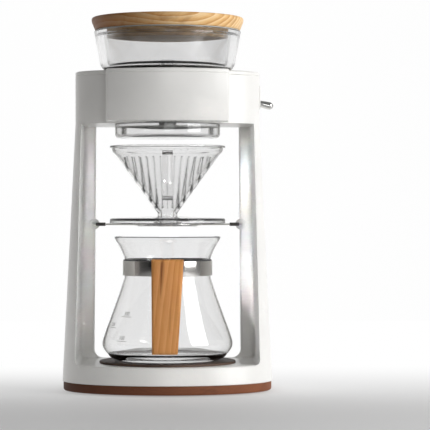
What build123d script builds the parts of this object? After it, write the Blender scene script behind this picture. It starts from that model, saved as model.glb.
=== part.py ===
"""Gravity-fed pour-over coffee station: stand, water tank, lever tap, dripper and carafe.

Millimetres, +Z up, the front faces -Y. The origin is the centre of the footprint on the table.
"""
from build123d import *
from math import cos, radians, sin, sqrt
import os

# Stand
STAND_FRONT = 74.0            # bow of the base and of the cover, ahead of the centre
STAND_REAR = 76.0             # flat back, behind the centre
FOOT_HALF_WIDTH = 104.8       # half width where the white shell starts
HEAD_HALF_WIDTH = 91.9        # half width where the housing starts
HOUSING_FRONT = 48.0          # bow of the housing's side columns
REAR_CORNER_RADIUS = 16.0
PLINTH_TOP = 10.0
DECK_TOP = 28.0
BAY_TOP = 266.0               # underside of the housing
HOUSING_TOP = 314.0
CAP_TOP = 318.0
WALL = 3.0
FOOT_HEIGHT = 1.0

# Bay between the columns
BAY_HALF_WIDTH_LOW = 90.9
BAY_HALF_WIDTH_HIGH = 85.5
BAY_REAR = 68.0
BAY_CORNER_RADIUS = 6.0
WINDOW_HALF_WIDTH_LOW = 75.5
WINDOW_HALF_WIDTH_HIGH = 73.6

# Bow-fronted cover
COVER_HALF_WIDTH = 60.0
COVER_SAG = 15.0
COVER_BOTTOM = 267.0

# Tank and lid
TANK_BASE = 319.0
TANK_RIM = 358.5
TANK_RADIUS_LOW = 67.0
TANK_RADIUS_HIGH = 73.9
TANK_WALL = 2.4
VESSEL_FLOOR = 326.0
VESSEL_RADIUS_LOW = 60.2
VESSEL_RADIUS_HIGH = 63.4
LID_BOTTOM = 359.6
LID_TOP = 372.0
LID_RADIUS_LOW = 72.3
LID_RADIUS_HIGH = 75.9

# Tap
LEVER_PIVOT_X = 65.5
LEVER_PIVOT_Z = 293.0
LEVER_DROOP = 13.0            # degrees below level at rest
CRANK_LENGTH = 15.0
GATE_THICKNESS = 2.0
WATER_BORE = 3.0
VALVE_SCREW_X = 17.5
PIN_RADIUS = 2.0
RUNNING_CLEARANCE = 0.05
GAP = 0.3                     # clearance between loosely fitted bodies

# Shower head
SHOWER_RADIUS = 52.6
SHOWER_BOTTOM = 252.0
SHOWER_POST_RADIUS = 44.0
SHOWER_SCREWS = 2
SHOWER_HEAD_DEPTH = 1.2

# Rack and dripper
RACK_HEIGHT = 165.9
RACK_WIRE = 0.95
RACK_RING_RADIUS = 34.0
RACK_ARM_ANGLE = 40.0         # where the arms leave the ring
RACK_KNEE_Y = 50.0
FERRULE_RADIUS = 1.8
FERRULE_NEAR = 3.0            # from the knee to the sleeve's ends
FERRULE_FAR = 13.5
BOSS_X = 75.4
BOSS_RADIUS = 5.5
FLANGE_BOTTOM = 167.2
FLANGE_TOP = 172.2
FLANGE_RADIUS = 57.7
CONE_TOP = 235.0
CONE_BOTTOM = 175.0
CONE_RADIUS_HIGH = 51.5
CONE_RADIUS_LOW = 8.0
CONE_WALL = 2.2
STEM_RADIUS = 9.8
COLLAR_RADIUS = 30.0

# Carafe
CARAFE_RIM = 153.0
CARAFE_RIM_RADIUS = 53.0
NECK_RADIUS = 43.2
CARAFE_WALL = 1.8
BAND_BOTTOM = 114.7
BAND_TOP = 130.0
HANDLE_FRONT = 77.0
HANDLE_BACK = 66.4
HANDLE_BOTTOM = 40.8
HANDLE_TOP = 132.7


def cylinder(radius, low, high, x=0.0, y=0.0):
    """Upright cylinder between two heights."""
    return Pos(x, y, (low + high) / 2) * Cylinder(radius, high - low)


def tube(outer, inner, low, high, x=0.0, y=0.0):
    """Upright tube between two heights."""
    return cylinder(outer, low, high, x, y) - cylinder(inner, low - 1, high + 1, x, y)


def block(x_span, y_span, z_span):
    """Box between two corners, each span as (low, high)."""
    spans = (x_span, y_span, z_span)
    centre = [(low + high) / 2 for low, high in spans]
    return Pos(*centre) * Box(*[high - low for low, high in spans])


def turned(points):
    """Solid turned about Z from a closed outline of (radius, height) points."""
    outline = Polyline(*[(radius, 0, height) for radius, height in points], close=True)
    return revolve(make_face(outline), Axis.Z)


def rod(start, end, radius):
    """Round rod between two points."""
    length = (Vector(*end) - Vector(*start)).length
    plane = Plane(origin=start, z_dir=Vector(*end) - Vector(*start))
    return extrude(plane * Circle(radius), length)


def polar(radius, count, first=0.0):
    """Evenly spaced (x, y) places on a circle."""
    angles = [radians(first + 360.0 * index / count) for index in range(count)]
    return [(radius * cos(angle), radius * sin(angle)) for angle in angles]


def tower_plan(half_width, front, height, inset=0.0):
    """Plan of the stand at a height: elliptical front, straight sides, round rear corners."""
    side = half_width - inset
    rear = STAND_REAR - inset
    corner = REAR_CORNER_RADIUS - inset
    outline = (
        EllipticalCenterArc((0, 0), side, front - inset, start_angle=180, arc_size=180)
        + Line((side, 0), (side, rear - corner))
        + CenterArc((side - corner, rear - corner), corner, 0, 90)
        + Line((side - corner, rear), (corner - side, rear))
        + CenterArc((corner - side, rear - corner), corner, 90, 90)
        + Line((-side, rear - corner), (-side, 0))
    )
    return Pos(0, 0, height) * make_face(outline)


def tower_half_width(height):
    """Half width of the drafted shell at a height."""
    share = (height - PLINTH_TOP) / (BAY_TOP - PLINTH_TOP)
    return FOOT_HALF_WIDTH + share * (HEAD_HALF_WIDTH - FOOT_HALF_WIDTH)


def tower_front(height):
    """Front bow of the drafted shell at a height."""
    share = (height - PLINTH_TOP) / (BAY_TOP - PLINTH_TOP)
    return STAND_FRONT + share * (HOUSING_FRONT - STAND_FRONT)


def tower(low, high, inset=0.0):
    """Drafted shell as a solid between two heights."""
    sections = [tower_plan(tower_half_width(z), tower_front(z), z, inset) for z in (low, high)]
    return loft(sections, ruled=True)


def bay_plan(half_width, window_half_width, height):
    """Plan of the bay, open to the front, with the window's neck behind it."""
    rear = STAND_REAR + 10.0
    outline = Polyline(
        (-half_width, -90.0), (-half_width, BAY_REAR), (-window_half_width, BAY_REAR),
        (-window_half_width, rear), (window_half_width, rear), (window_half_width, BAY_REAR),
        (half_width, BAY_REAR), (half_width, -90.0), close=True,
    )
    face = make_face(outline)
    corners = [v for v in face.vertices() if abs(v.Y - BAY_REAR) < 0.1 and abs(v.X) > window_half_width + 1]
    return Pos(0, 0, height) * fillet(corners, BAY_CORNER_RADIUS)


def bay(low, high):
    """Space between the two columns and the window between their rear flanges."""
    sections = [
        bay_plan(BAY_HALF_WIDTH_LOW, WINDOW_HALF_WIDTH_LOW, low),
        bay_plan(BAY_HALF_WIDTH_HIGH, WINDOW_HALF_WIDTH_HIGH, high),
    ]
    return loft(sections, ruled=True)


def cover_plan(height, inset=0.0):
    """Plan of the bow-fronted cover, back to the housing's front."""
    half = COVER_HALF_WIDTH - inset
    shoulder = -(STAND_FRONT - COVER_SAG)
    outline = (
        ThreePointArc((-half, shoulder + inset), (0, -STAND_FRONT + inset), (half, shoulder + inset))
        + Polyline((half, shoulder + inset), (half, 0), (-half, 0), (-half, shoulder + inset))
    )
    return Pos(0, 0, height) * make_face(outline)


def housing_outline(low, high, inset=0.0):
    """Housing envelope between two heights, without the cover."""
    plan = tower_plan(HEAD_HALF_WIDTH, HOUSING_FRONT, low, inset)
    return extrude(plan, high - low)


# ---------------------------------------------------------------- stand

def make_plinth_ring():
    """Wooden ring under the white deck."""
    outer = extrude(tower_plan(FOOT_HALF_WIDTH - 1.0, STAND_FRONT - 1.0, FOOT_HEIGHT), PLINTH_TOP - FOOT_HEIGHT)
    low_edges = outer.faces().sort_by(Axis.Z)[0].edges()
    outer = fillet(low_edges, 2.4)
    hollow = extrude(tower_plan(FOOT_HALF_WIDTH, STAND_FRONT, 0.0, 13.0), PLINTH_TOP + 1)
    return outer - hollow


def foot_places():
    """Centres of the four feet."""
    return [(-58.0, -34.0), (58.0, -34.0), (-66.0, 50.0), (66.0, 50.0)]


def make_bottom_cover():
    """Plate inside the plinth ring."""
    plate = extrude(tower_plan(FOOT_HALF_WIDTH, STAND_FRONT, 3.0, 13.0), 3.0)
    for x, y in foot_places():
        plate -= cylinder(2.1, 0, 8, x, y)
    return plate


def make_feet():
    """Four rubber feet, bored for the base screws."""
    feet = []
    for x, y in foot_places():
        foot = cylinder(8.0, 0, 3.0, x, y)
        foot = fillet(foot.edges().filter_by(GeomType.CIRCLE).sort_by(Axis.Z)[0], 0.8)
        feet.append(foot - cylinder(4.2, -1, 4, x, y))
    return Compound(children=feet)


def screw(radius, head_radius, low, head_height, high, x, y):
    """Upright screw, head down."""
    head = cylinder(head_radius, low, low + head_height, x, y)
    return head + cylinder(radius, low + head_height, high, x, y)


def make_base_screws():
    """Screws up through the feet into the deck's posts."""
    return Compound(children=[screw(2.0, 4.0, 1.2, 1.8, 20.0, x, y) for x, y in foot_places()])


def make_base_deck():
    """White deck: top plate, drafted skirt and four screw posts."""
    deck = tower(PLINTH_TOP, DECK_TOP)
    top_rim = deck.faces().sort_by(Axis.Z)[-1].edges()
    deck = fillet(top_rim, 1.2)
    deck -= tower(PLINTH_TOP - 1, DECK_TOP - WALL, WALL)
    for x, y in foot_places():
        deck += tube(5.0, 2.0, PLINTH_TOP, DECK_TOP - WALL, x, y)
    return deck


def make_coaster():
    """Dark round pad that the carafe stands on."""
    pad = cylinder(68.0, DECK_TOP, DECK_TOP + 2.3)
    return fillet(pad.edges().sort_by(Axis.Z)[-1], 0.8)


def column(side):
    """One side column with its rear flange; side is -1 for left and 1 for right."""
    shell = tower(DECK_TOP, BAY_TOP) - bay(DECK_TOP, BAY_TOP)
    halves = shell.solids().sort_by(Axis.X)
    return halves[-1] if side > 0 else halves[0]


def rack_boss(side):
    """Boss on a rear flange, bored for one end of the rack."""
    x = side * BOSS_X
    body = rod((x, 59.0, RACK_HEIGHT), (x, BAY_REAR, RACK_HEIGHT), BOSS_RADIUS)
    bore = rod((x, 50.0, RACK_HEIGHT), (x, BAY_REAR - 1.5, RACK_HEIGHT), 2.1)
    return body - bore


def make_top_housing():
    """D-shaped shell over the columns with a floor; the front is open behind the cover."""
    shell = housing_outline(BAY_TOP, HOUSING_TOP)
    shell -= housing_outline(BAY_TOP + WALL, HOUSING_TOP + 1, WALL)
    shell -= block((-55.0, 55.0), (-60.0, -20.0), (BAY_TOP + WALL + 3, HOUSING_TOP - 4))
    shell -= cylinder(6.3, BAY_TOP - 1, BAY_TOP + WALL + 1)
    slot_centre = LEVER_PIVOT_Z
    slot = block((86.0, 94.0), (-3.8, 3.8), (slot_centre - 6.2, slot_centre + 6.2))
    for end in (-6.2, 6.2):
        slot += rod((86.0, 0, slot_centre + end), (94.0, 0, slot_centre + end), 3.8)
    shell -= slot
    for x, y in polar(SHOWER_POST_RADIUS, SHOWER_SCREWS):
        shell -= cylinder(1.3, BAY_TOP - 1, BAY_TOP + WALL + 1, x, y)
    for x in (-VALVE_SCREW_X, VALVE_SCREW_X):
        shell -= cylinder(1.3, BAY_TOP - 1, BAY_TOP + WALL + 1, x, 0)
    return shell


def make_front_cover():
    """Bow-fronted panel, closed below, open behind."""
    solid = extrude(cover_plan(COVER_BOTTOM), HOUSING_TOP - COVER_BOTTOM)
    solid -= extrude(cover_plan(COVER_BOTTOM + 2.5, 2.5), HOUSING_TOP)
    solid -= housing_outline(BAY_TOP - 10, CAP_TOP + 10, 0.0)
    return solid


def make_top_cap():
    """Cap plate over the housing and the cover, with the tank's round seat."""
    plan = tower_plan(HEAD_HALF_WIDTH, HOUSING_FRONT, HOUSING_TOP)
    cap = extrude(plan, CAP_TOP - HOUSING_TOP) + extrude(cover_plan(HOUSING_TOP), CAP_TOP - HOUSING_TOP)
    cap = fillet(cap.faces().sort_by(Axis.Z)[-1].edges(), 1.4)
    cap -= cylinder(16.0, HOUSING_TOP - 1, CAP_TOP + 1)
    cap -= tube(66.0, 58.0, CAP_TOP - 1.2, CAP_TOP + 1)
    for x, y in cap_screw_places():
        cap -= cylinder(1.6, HOUSING_TOP - 1, CAP_TOP + 1, x, y)
        cap -= cylinder(3.1, CAP_TOP - 1.6, CAP_TOP + 1, x, y)
    return cap


def cap_screw_places():
    """Screws under the tank that pull the cap down on the housing's posts."""
    return polar(40.0, 4, 45)


def make_cap_posts():
    """Posts on the housing floor that take the cap screws."""
    posts = [tube(4.5, 1.5, BAY_TOP + WALL, HOUSING_TOP, x, y) for x, y in cap_screw_places()]
    return Compound(children=posts)


def make_cap_screws():
    """Four countersunk screws, heads up."""
    screws = []
    for x, y in cap_screw_places():
        head = cylinder(3.0, CAP_TOP - 1.6, CAP_TOP - 0.2, x, y)
        screws.append(head + cylinder(1.5, HOUSING_TOP - 12, CAP_TOP - 1.6, x, y))
    return Compound(children=screws)


# ---------------------------------------------------------------- tank and lid

def make_tank_gasket():
    """Silicone ring in the cap's groove."""
    return tube(65.8, 58.2, CAP_TOP - 1.2, TANK_BASE - GAP)


def make_tank_outer():
    """Clear outer wall, flared to the rim."""
    profile = [
        (9.0, TANK_BASE), (62.0, TANK_BASE), (65.4, TANK_BASE + 1.4), (TANK_RADIUS_LOW, TANK_BASE + 5.0),
        (TANK_RADIUS_HIGH - 0.4, TANK_RIM - 0.6), (TANK_RADIUS_HIGH - 0.8, TANK_RIM),
        (TANK_RADIUS_HIGH - TANK_WALL, TANK_RIM),
        (TANK_RADIUS_LOW - TANK_WALL, TANK_BASE + 5.6), (61.6, TANK_BASE + TANK_WALL),
        (9.0, TANK_BASE + TANK_WALL),
    ]
    return turned(profile)


def make_tank_inner():
    """Clear inner vessel hung from a flange just under the rim."""
    flange_low = 353.0
    flange_high = 355.6
    profile = [
        (9.0, VESSEL_FLOOR - 2.0), (57.0, VESSEL_FLOOR - 2.0), (59.6, VESSEL_FLOOR - 0.8),
        (VESSEL_RADIUS_LOW, VESSEL_FLOOR + 2.0), (VESSEL_RADIUS_HIGH, flange_low), (70.2, flange_low),
        (70.4, flange_high), (VESSEL_RADIUS_HIGH - 1.6, flange_high),
        (VESSEL_RADIUS_LOW - 2.0, VESSEL_FLOOR + 2.2), (56.8, VESSEL_FLOOR), (9.0, VESSEL_FLOOR),
    ]
    return turned(profile)


def make_tank_outlet():
    """Flanged spigot through both floors into the valve's socket."""
    spigot = cylinder(9.0, 300.0, VESSEL_FLOOR) + cylinder(14.0, VESSEL_FLOOR, VESSEL_FLOOR + 1.6)
    spigot -= cylinder(4.0, 290.0, VESSEL_FLOOR + 3.0)
    return spigot - tube(10.0, 8.0, 303.0, 305.4)


def make_outlet_ring():
    """O-ring in the spigot's groove."""
    return tube(9.25, 8.0, 303.0, 305.4)


def make_strainer():
    """Domed strainer cap over the outlet."""
    cap = tube(7.5, 6.3, VESSEL_FLOOR + 1.6, VESSEL_FLOOR + 5.0) + cylinder(7.5, VESSEL_FLOOR + 4.0, VESSEL_FLOOR + 5.6)
    for x, y in polar(4.2, 6):
        cap -= cylinder(1.0, VESSEL_FLOOR, VESSEL_FLOOR + 7, x, y)
    return cap


def make_lid_top():
    """Wooden disc with an undercut edge."""
    disc = turned([(0, LID_BOTTOM), (LID_RADIUS_LOW, LID_BOTTOM), (LID_RADIUS_HIGH, LID_TOP - 3.4),
                   (LID_RADIUS_HIGH, LID_TOP), (0, LID_TOP)])
    return fillet(disc.edges().filter_by(GeomType.CIRCLE).sort_by(Axis.Z)[-1], 2.8)


def make_lid_plug():
    """Wooden plug that centres the lid in the vessel."""
    plug = turned([(0, 350.0), (59.2, 350.0), (60.4, 351.2), (60.4, LID_BOTTOM), (0, LID_BOTTOM)])
    for x, y in lid_screw_places():
        plug -= cylinder(1.5, 349.0, LID_BOTTOM + 1, x, y)
        plug -= cylinder(3.2, 349.0, 352.0, x, y)
    return plug


def lid_screw_places():
    """Three screws up through the plug."""
    return polar(36.0, 3, 90)


def make_lid_screws():
    """Screws that join the plug to the lid."""
    return Compound(children=[screw(1.5, 3.2, 350.4, 1.6, LID_BOTTOM, x, y) for x, y in lid_screw_places()])


def make_lid_seal():
    """Silicone ring round the plug, just over the tank's rim."""
    return tube(71.6, 60.4, LID_BOTTOM - 0.7, LID_BOTTOM)


# ---------------------------------------------------------------- tap

def lever_point(distance, angle=-LEVER_DROOP):
    """Point on the lever's line at a distance from the pivot."""
    return (
        LEVER_PIVOT_X + distance * cos(radians(angle)),
        0.0,
        LEVER_PIVOT_Z + distance * sin(radians(angle)),
    )


def crank_tip():
    """Centre of the crank pin at rest."""
    return (
        LEVER_PIVOT_X - CRANK_LENGTH * sin(radians(LEVER_DROOP)),
        LEVER_PIVOT_Z - CRANK_LENGTH * cos(radians(LEVER_DROOP)),
    )


def make_valve_body():
    """Socket, gate slot and outlet spigot on one flange."""
    gate_z = crank_tip()[1]
    body = cylinder(13.0, BAY_TOP + WALL, 312.0) + cylinder(6.1, 262.6, BAY_TOP + WALL)
    flange = block((-21.0, 21.0), (-6.5, 6.5), (BAY_TOP + WALL, BAY_TOP + WALL + 3))
    body += flange
    body -= cylinder(9.6, 299.0, 313.0)
    body -= cylinder(WATER_BORE, 260.0, 300.0)
    slot_half = GATE_THICKNESS / 2 + GAP
    body -= block((-4.4, 30.0), (-5.6, 5.6), (gate_z - slot_half, gate_z + slot_half))
    for x in (-VALVE_SCREW_X, VALVE_SCREW_X):
        body -= cylinder(1.6, 260.0, 280.0, x, 0)
    return body


def make_valve_screws():
    """Two screws that hold the valve's flange to the housing floor."""
    screws = []
    for x in (-VALVE_SCREW_X, VALVE_SCREW_X):
        head = cylinder(2.9, BAY_TOP + WALL + 3, BAY_TOP + WALL + 4.6, x, 0)
        screws.append(head + cylinder(1.3, BAY_TOP + 0.4, BAY_TOP + WALL + 3, x, 0))
    return Compound(children=screws)


def make_valve_gate():
    """Blade, pull rod and slotted yoke, all in line with the crank pin."""
    pin_x, gate_z = crank_tip()
    half = GATE_THICKNESS / 2
    blade = block((-3.4, 18.0), (-5.2, 5.2), (gate_z - half, gate_z + half))
    pull = block((18.0, pin_x - 5.0), (-2.0, 2.0), (gate_z - 2.0, gate_z + 2.0))
    yoke = block((pin_x - 5.0, pin_x + 5.0), (-3.0, 3.0), (gate_z - 5.0, gate_z + 5.0))
    pin_slot = block((pin_x - 1.8, pin_x + 1.8), (-4.0, 4.0), (gate_z - 2.8, gate_z + 2.8))
    return blade + pull + (yoke - pin_slot)


def make_lever():
    """Chrome lever, thicker towards its round end."""
    start = lever_point(4.6)
    neck = lever_point(26.0)
    tip = lever_point(37.5)
    shank = rod(start, neck, 2.4)
    plane = Plane(origin=neck, z_dir=Vector(*tip) - Vector(*neck))
    length = (Vector(*tip) - Vector(*neck)).length
    grip = loft([plane * Circle(2.4), plane.offset(length) * Circle(3.9)])
    knob = Pos(*tip) * Sphere(3.9)
    return shank + grip + knob


def make_lever_crank():
    """Hub on the pivot pin with the arm that works the gate."""
    pin_x, pin_z = crank_tip()
    hub = rod((LEVER_PIVOT_X, -6.0, LEVER_PIVOT_Z), (LEVER_PIVOT_X, 6.4, LEVER_PIVOT_Z), 5.0)
    arm_low = 3.4
    arm_high = 6.4
    span = CRANK_LENGTH
    arm = Pos(0, (arm_low + arm_high) / 2, -span / 2) * Box(6.0, arm_high - arm_low, span)
    arm = Pos(LEVER_PIVOT_X, 0, LEVER_PIVOT_Z) * Rot(0, LEVER_DROOP, 0) * arm
    eye = rod((pin_x, arm_low, pin_z), (pin_x, arm_high, pin_z), 3.0)
    crank = hub + arm + eye
    crank -= rod((LEVER_PIVOT_X, -8, LEVER_PIVOT_Z), (LEVER_PIVOT_X, 8, LEVER_PIVOT_Z),
                 PIN_RADIUS + RUNNING_CLEARANCE)
    crank -= rod((pin_x, 0, pin_z), (pin_x, 9, pin_z), 1.5)
    socket = rod(lever_point(4.6), lever_point(12.0), 2.4)
    return crank - socket


def make_crank_pin():
    """Pin that drives the gate's yoke."""
    pin_x, pin_z = crank_tip()
    return rod((pin_x, -3.0, pin_z), (pin_x, 6.4, pin_z), 1.5)


def make_lever_pivot():
    """Pin across the bracket."""
    return rod((LEVER_PIVOT_X, -11.0, LEVER_PIVOT_Z), (LEVER_PIVOT_X, 11.0, LEVER_PIVOT_Z), PIN_RADIUS)


def make_lever_bracket():
    """Two ears on a foot that straddle the crank."""
    foot = block((56.0, 75.0), (-11.0, 11.0), (BAY_TOP + WALL, BAY_TOP + WALL + 2))
    bracket = foot
    for low, high in ((-11.0, -7.0), (7.0, 11.0)):
        ear = block((60.5, 70.5), (low, high), (BAY_TOP + WALL, LEVER_PIVOT_Z))
        ear += rod((LEVER_PIVOT_X, low, LEVER_PIVOT_Z), (LEVER_PIVOT_X, high, LEVER_PIVOT_Z), 5.0)
        bracket += ear
    return bracket - rod((LEVER_PIVOT_X, -12, LEVER_PIVOT_Z), (LEVER_PIVOT_X, 12, LEVER_PIVOT_Z), PIN_RADIUS)


def make_slot_plate():
    """Oval plate round the lever's slot on the right side."""
    def oval(radius, reach, low, high):
        shape = block((low, high), (-radius, radius), (LEVER_PIVOT_Z - reach, LEVER_PIVOT_Z + reach))
        for end in (-reach, reach):
            shape += rod((low, 0, LEVER_PIVOT_Z + end), (high, 0, LEVER_PIVOT_Z + end), radius)
        return shape
    outer = oval(5.4, 6.2, HEAD_HALF_WIDTH - 2, HEAD_HALF_WIDTH + 0.9)
    outer -= housing_outline(BAY_TOP, HOUSING_TOP)
    return outer - oval(3.8, 6.2, HEAD_HALF_WIDTH - 3, HEAD_HALF_WIDTH + 2)


# ---------------------------------------------------------------- shower head

def make_shower_cover():
    """Plate against the housing with posts for the tray screws."""
    plate = cylinder(50.4, 263.0, BAY_TOP) - cylinder(6.1, 262.0, BAY_TOP + 1)
    for x, y in polar(SHOWER_POST_RADIUS, SHOWER_SCREWS):
        plate += cylinder(3.2, SHOWER_BOTTOM + 2, 263.0, x, y)
        plate -= cylinder(1.3, SHOWER_BOTTOM, BAY_TOP + 1, x, y)
    return plate


def make_shower_tray():
    """Clear shallow tray with rings of drip holes."""
    tray = cylinder(SHOWER_RADIUS, SHOWER_BOTTOM, BAY_TOP - 0.2)
    tray = fillet(tray.edges().filter_by(GeomType.CIRCLE).sort_by(Axis.Z)[0], 4.0)
    tray -= cylinder(SHOWER_RADIUS - 2.2, SHOWER_BOTTOM + 2, BAY_TOP + 1)
    for count, radius in ((1, 0.0), (6, 9.0), (12, 18.0), (12, 27.0)):
        for x, y in polar(radius, count):
            tray -= cylinder(0.9, SHOWER_BOTTOM - 1, SHOWER_BOTTOM + 3, x, y)
    for x, y in polar(SHOWER_POST_RADIUS, SHOWER_SCREWS):
        tray -= cylinder(1.4, SHOWER_BOTTOM - 1, SHOWER_BOTTOM + 3, x, y)
        tray -= cylinder(2.65, SHOWER_BOTTOM - 1, SHOWER_BOTTOM + SHOWER_HEAD_DEPTH, x, y)
    return tray


def make_shower_seal():
    """Ring pressed under the cover plate."""
    return tube(50.3, 47.6, 261.8, 263.0)


def make_shower_screws():
    """Screws with sunk heads, up through the tray into the housing floor."""
    places = polar(SHOWER_POST_RADIUS, SHOWER_SCREWS)
    depth = SHOWER_HEAD_DEPTH
    return Compound(children=[screw(1.3, 2.6, SHOWER_BOTTOM, depth, BAY_TOP + 2, x, y) for x, y in places])


# ---------------------------------------------------------------- rack and dripper

def bent_wire(points, radius, bend):
    """Round wire along straight runs with rounded bends."""
    path = FilletPolyline(*points, radius=bend)
    start = path @ 0
    plane = Plane(origin=start, z_dir=path % 0)
    return sweep(plane * Circle(radius), path=path)


def rack_corners(side):
    """Root, knee and end of one arm."""
    ring_angle = radians(RACK_ARM_ANGLE)
    root = (side * RACK_RING_RADIUS * cos(ring_angle), RACK_RING_RADIUS * sin(ring_angle), RACK_HEIGHT)
    knee = (side * BOSS_X, RACK_KNEE_Y, RACK_HEIGHT)
    end = (side * BOSS_X, 65.8, RACK_HEIGHT)
    return root, knee, end


def rack_arm(side):
    """Arm from the ring to its boss, bent back into the bore."""
    return bent_wire(list(rack_corners(side)), RACK_WIRE, 4.0)


def make_rack_ring():
    """Chrome wire ring with two arms."""
    ring = Pos(0, 0, RACK_HEIGHT) * Torus(RACK_RING_RADIUS, RACK_WIRE)
    return ring + rack_arm(-1) + rack_arm(1)


def make_rack_ferrules():
    """Sleeves on the straight part of the rack's arms, next to the knees."""
    sleeves = []
    for side in (-1, 1):
        root, knee, _ = rack_corners(side)
        along = (Vector(*knee) - Vector(*root)).normalized()
        start = Vector(*knee) - along * FERRULE_NEAR
        end = Vector(*knee) - along * FERRULE_FAR
        sleeve = rod(tuple(start), tuple(end), FERRULE_RADIUS)
        sleeves.append(sleeve - rod(tuple(Vector(*knee)), tuple(Vector(*root)), RACK_WIRE))
    return Compound(children=sleeves)


def cone_radius(height):
    """Outside radius of the dripper cone at a height."""
    share = (height - CONE_BOTTOM) / (CONE_TOP - CONE_BOTTOM)
    return CONE_RADIUS_LOW + share * (CONE_RADIUS_HIGH - CONE_RADIUS_LOW)


def make_dripper_cone():
    """Clear cone with a rolled rim, a stem and straight ribs inside."""
    slant = CONE_WALL * sqrt(1 + ((CONE_RADIUS_HIGH - CONE_RADIUS_LOW) / (CONE_TOP - CONE_BOTTOM)) ** 2)
    bore = STEM_RADIUS - 4.0
    low_inner = CONE_BOTTOM + 4.0
    shell = turned([
        (STEM_RADIUS, FLANGE_BOTTOM - 2.0), (STEM_RADIUS, 177.5), (cone_radius(178.5), 178.5),
        (CONE_RADIUS_HIGH, CONE_TOP), (55.0, 238.4), (55.6, 242.0), (57.7, 242.6), (57.7, 244.4),
        (53.4, 244.4), (52.6, 239.6), (CONE_RADIUS_HIGH - slant, CONE_TOP + 0.4),
        (bore, low_inner), (bore, FLANGE_BOTTOM - 2.0),
    ])
    inside = turned([(bore, low_inner + 1), (CONE_RADIUS_HIGH - slant, CONE_TOP), (0, CONE_TOP), (0, low_inner + 1)])
    core = turned([
        (0, low_inner + 4), (bore - 1.8, low_inner + 4),
        (CONE_RADIUS_HIGH - slant - 3.6, CONE_TOP + 1), (0, CONE_TOP + 1),
    ])
    rib_layer = inside - core
    for index in range(-6, 7):
        x = index * 6.5
        rib_layer_slab = rib_layer & block((x - 0.7, x + 0.7), (-60, 60), (CONE_BOTTOM, CONE_TOP - 1.5))
        shell += rib_layer_slab
    return shell


def make_dripper_flange():
    """Shallow dish under the cone, with the collar that sits in the rack ring."""
    dish = turned([
        (STEM_RADIUS, FLANGE_BOTTOM), (FLANGE_RADIUS, FLANGE_BOTTOM), (FLANGE_RADIUS, FLANGE_TOP - 2.0),
        (FLANGE_RADIUS - 0.7, FLANGE_TOP - 0.6), (FLANGE_RADIUS - 2.2, FLANGE_TOP),
        (STEM_RADIUS, FLANGE_TOP + 2.4),
        (STEM_RADIUS, FLANGE_TOP + 0.2), (FLANGE_RADIUS - 3.0, FLANGE_TOP - 2.4),
        (FLANGE_RADIUS - 3.0, FLANGE_BOTTOM + 1.8), (COLLAR_RADIUS, FLANGE_BOTTOM + 1.8),
        (STEM_RADIUS, FLANGE_BOTTOM + 1.8),
    ])
    return dish + tube(COLLAR_RADIUS, COLLAR_RADIUS - 2, FLANGE_BOTTOM - 3.0, FLANGE_BOTTOM)


def make_dripper_handle():
    """Clear strap handle on the front of the cone."""
    half = 5.2
    outline = Polyline((0, -54.6, 238.0), (0, -74.0, 238.0), (0, -74.0, 190.0),
                       (0, -cone_radius(190.0) + 0.2, 190.0), (0, -cone_radius(193.5) + 0.2, 193.5),
                       (0, -69.6, 193.5), (0, -69.6, 234.6),
                       (0, -cone_radius(234.6) + 0.2, 234.6), (0, -52.2, 235.6), close=True)
    strap = extrude(make_face(outline), half, both=True)
    corners = strap.edges().filter_by(Axis.X).group_by(Axis.Y)[0]
    strap = fillet(corners, 3.0)
    cone = turned([(0, 170), (cone_radius(178.5), 178.5), (CONE_RADIUS_HIGH, CONE_TOP), (55.0, 238.4),
                   (55.6, 242.0), (0, 242.0)])
    return strap - cone


# ---------------------------------------------------------------- carafe

def carafe_outline():
    """Outside of the glass as (radius, height) points from the foot to the lip."""
    return [
        (50.0, 30.7), (56.0, 33.1), (60.6, 38.0), (64.0, 43.0), (65.0, 47.5), (63.9, 53.0), (60.6, 63.0),
        (56.6, 74.0), (52.4, 86.0), (48.2, 98.0), (45.0, 108.0), (43.3, 114.0), (NECK_RADIUS, 120.0),
        (NECK_RADIUS, 131.0), (45.2, 137.0), (48.6, 144.5), (51.6, 149.5), (CARAFE_RIM_RADIUS, CARAFE_RIM),
    ]


def make_carafe_glass():
    """Blown glass: curved shoulder, straight neck, flared lip with a pouring spout."""
    outer = carafe_outline()
    outside = Spline(*[(radius, 0, height) for radius, height in outer])
    inner = [(radius - CARAFE_WALL, max(height, 33.4)) for radius, height in outer[2:]]
    inner[0] = (56.0, 35.6)
    inside = Spline(*[(radius, 0, height) for radius, height in reversed(inner)])
    floor_centre = (0, 0, 33.6)
    outline = (
        outside
        + Line(outside @ 1, inside @ 0)
        + inside
        + Line(inside @ 1, (50.0, 0, 33.6))
        + Line((50.0, 0, 33.6), floor_centre)
        + Line(floor_centre, (0, 0, 30.7))
        + Line((0, 0, 30.7), outside @ 0)
    )
    return revolve(make_face(outline), Axis.Z)


def make_neck_band():
    """Chrome band round the neck."""
    return tube(NECK_RADIUS + 1.7, NECK_RADIUS + 0.9, BAND_BOTTOM + 0.5, BAND_TOP)


def make_neck_liner():
    """Clear sleeve between the glass and the band."""
    return tube(NECK_RADIUS + 0.9, NECK_RADIUS + 0.05, BAND_BOTTOM + 4.8, BAND_TOP + 1.0)


def make_handle_bracket():
    """Steel bracket from the band to the back of the handle."""
    z_low = BAND_BOTTOM + 0.5
    strap = block((-6.0, 6.0), (-HANDLE_BACK, -NECK_RADIUS - 1.0), (z_low + 2, BAND_TOP - 2))
    strap -= cylinder(NECK_RADIUS + 1.7, z_low - 5, BAND_TOP + 5)
    plate = block((-5.0, 5.0), (-HANDLE_BACK, -HANDLE_BACK + 2.0), (z_low - 22.0, BAND_TOP - 2))
    return strap + plate


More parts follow.
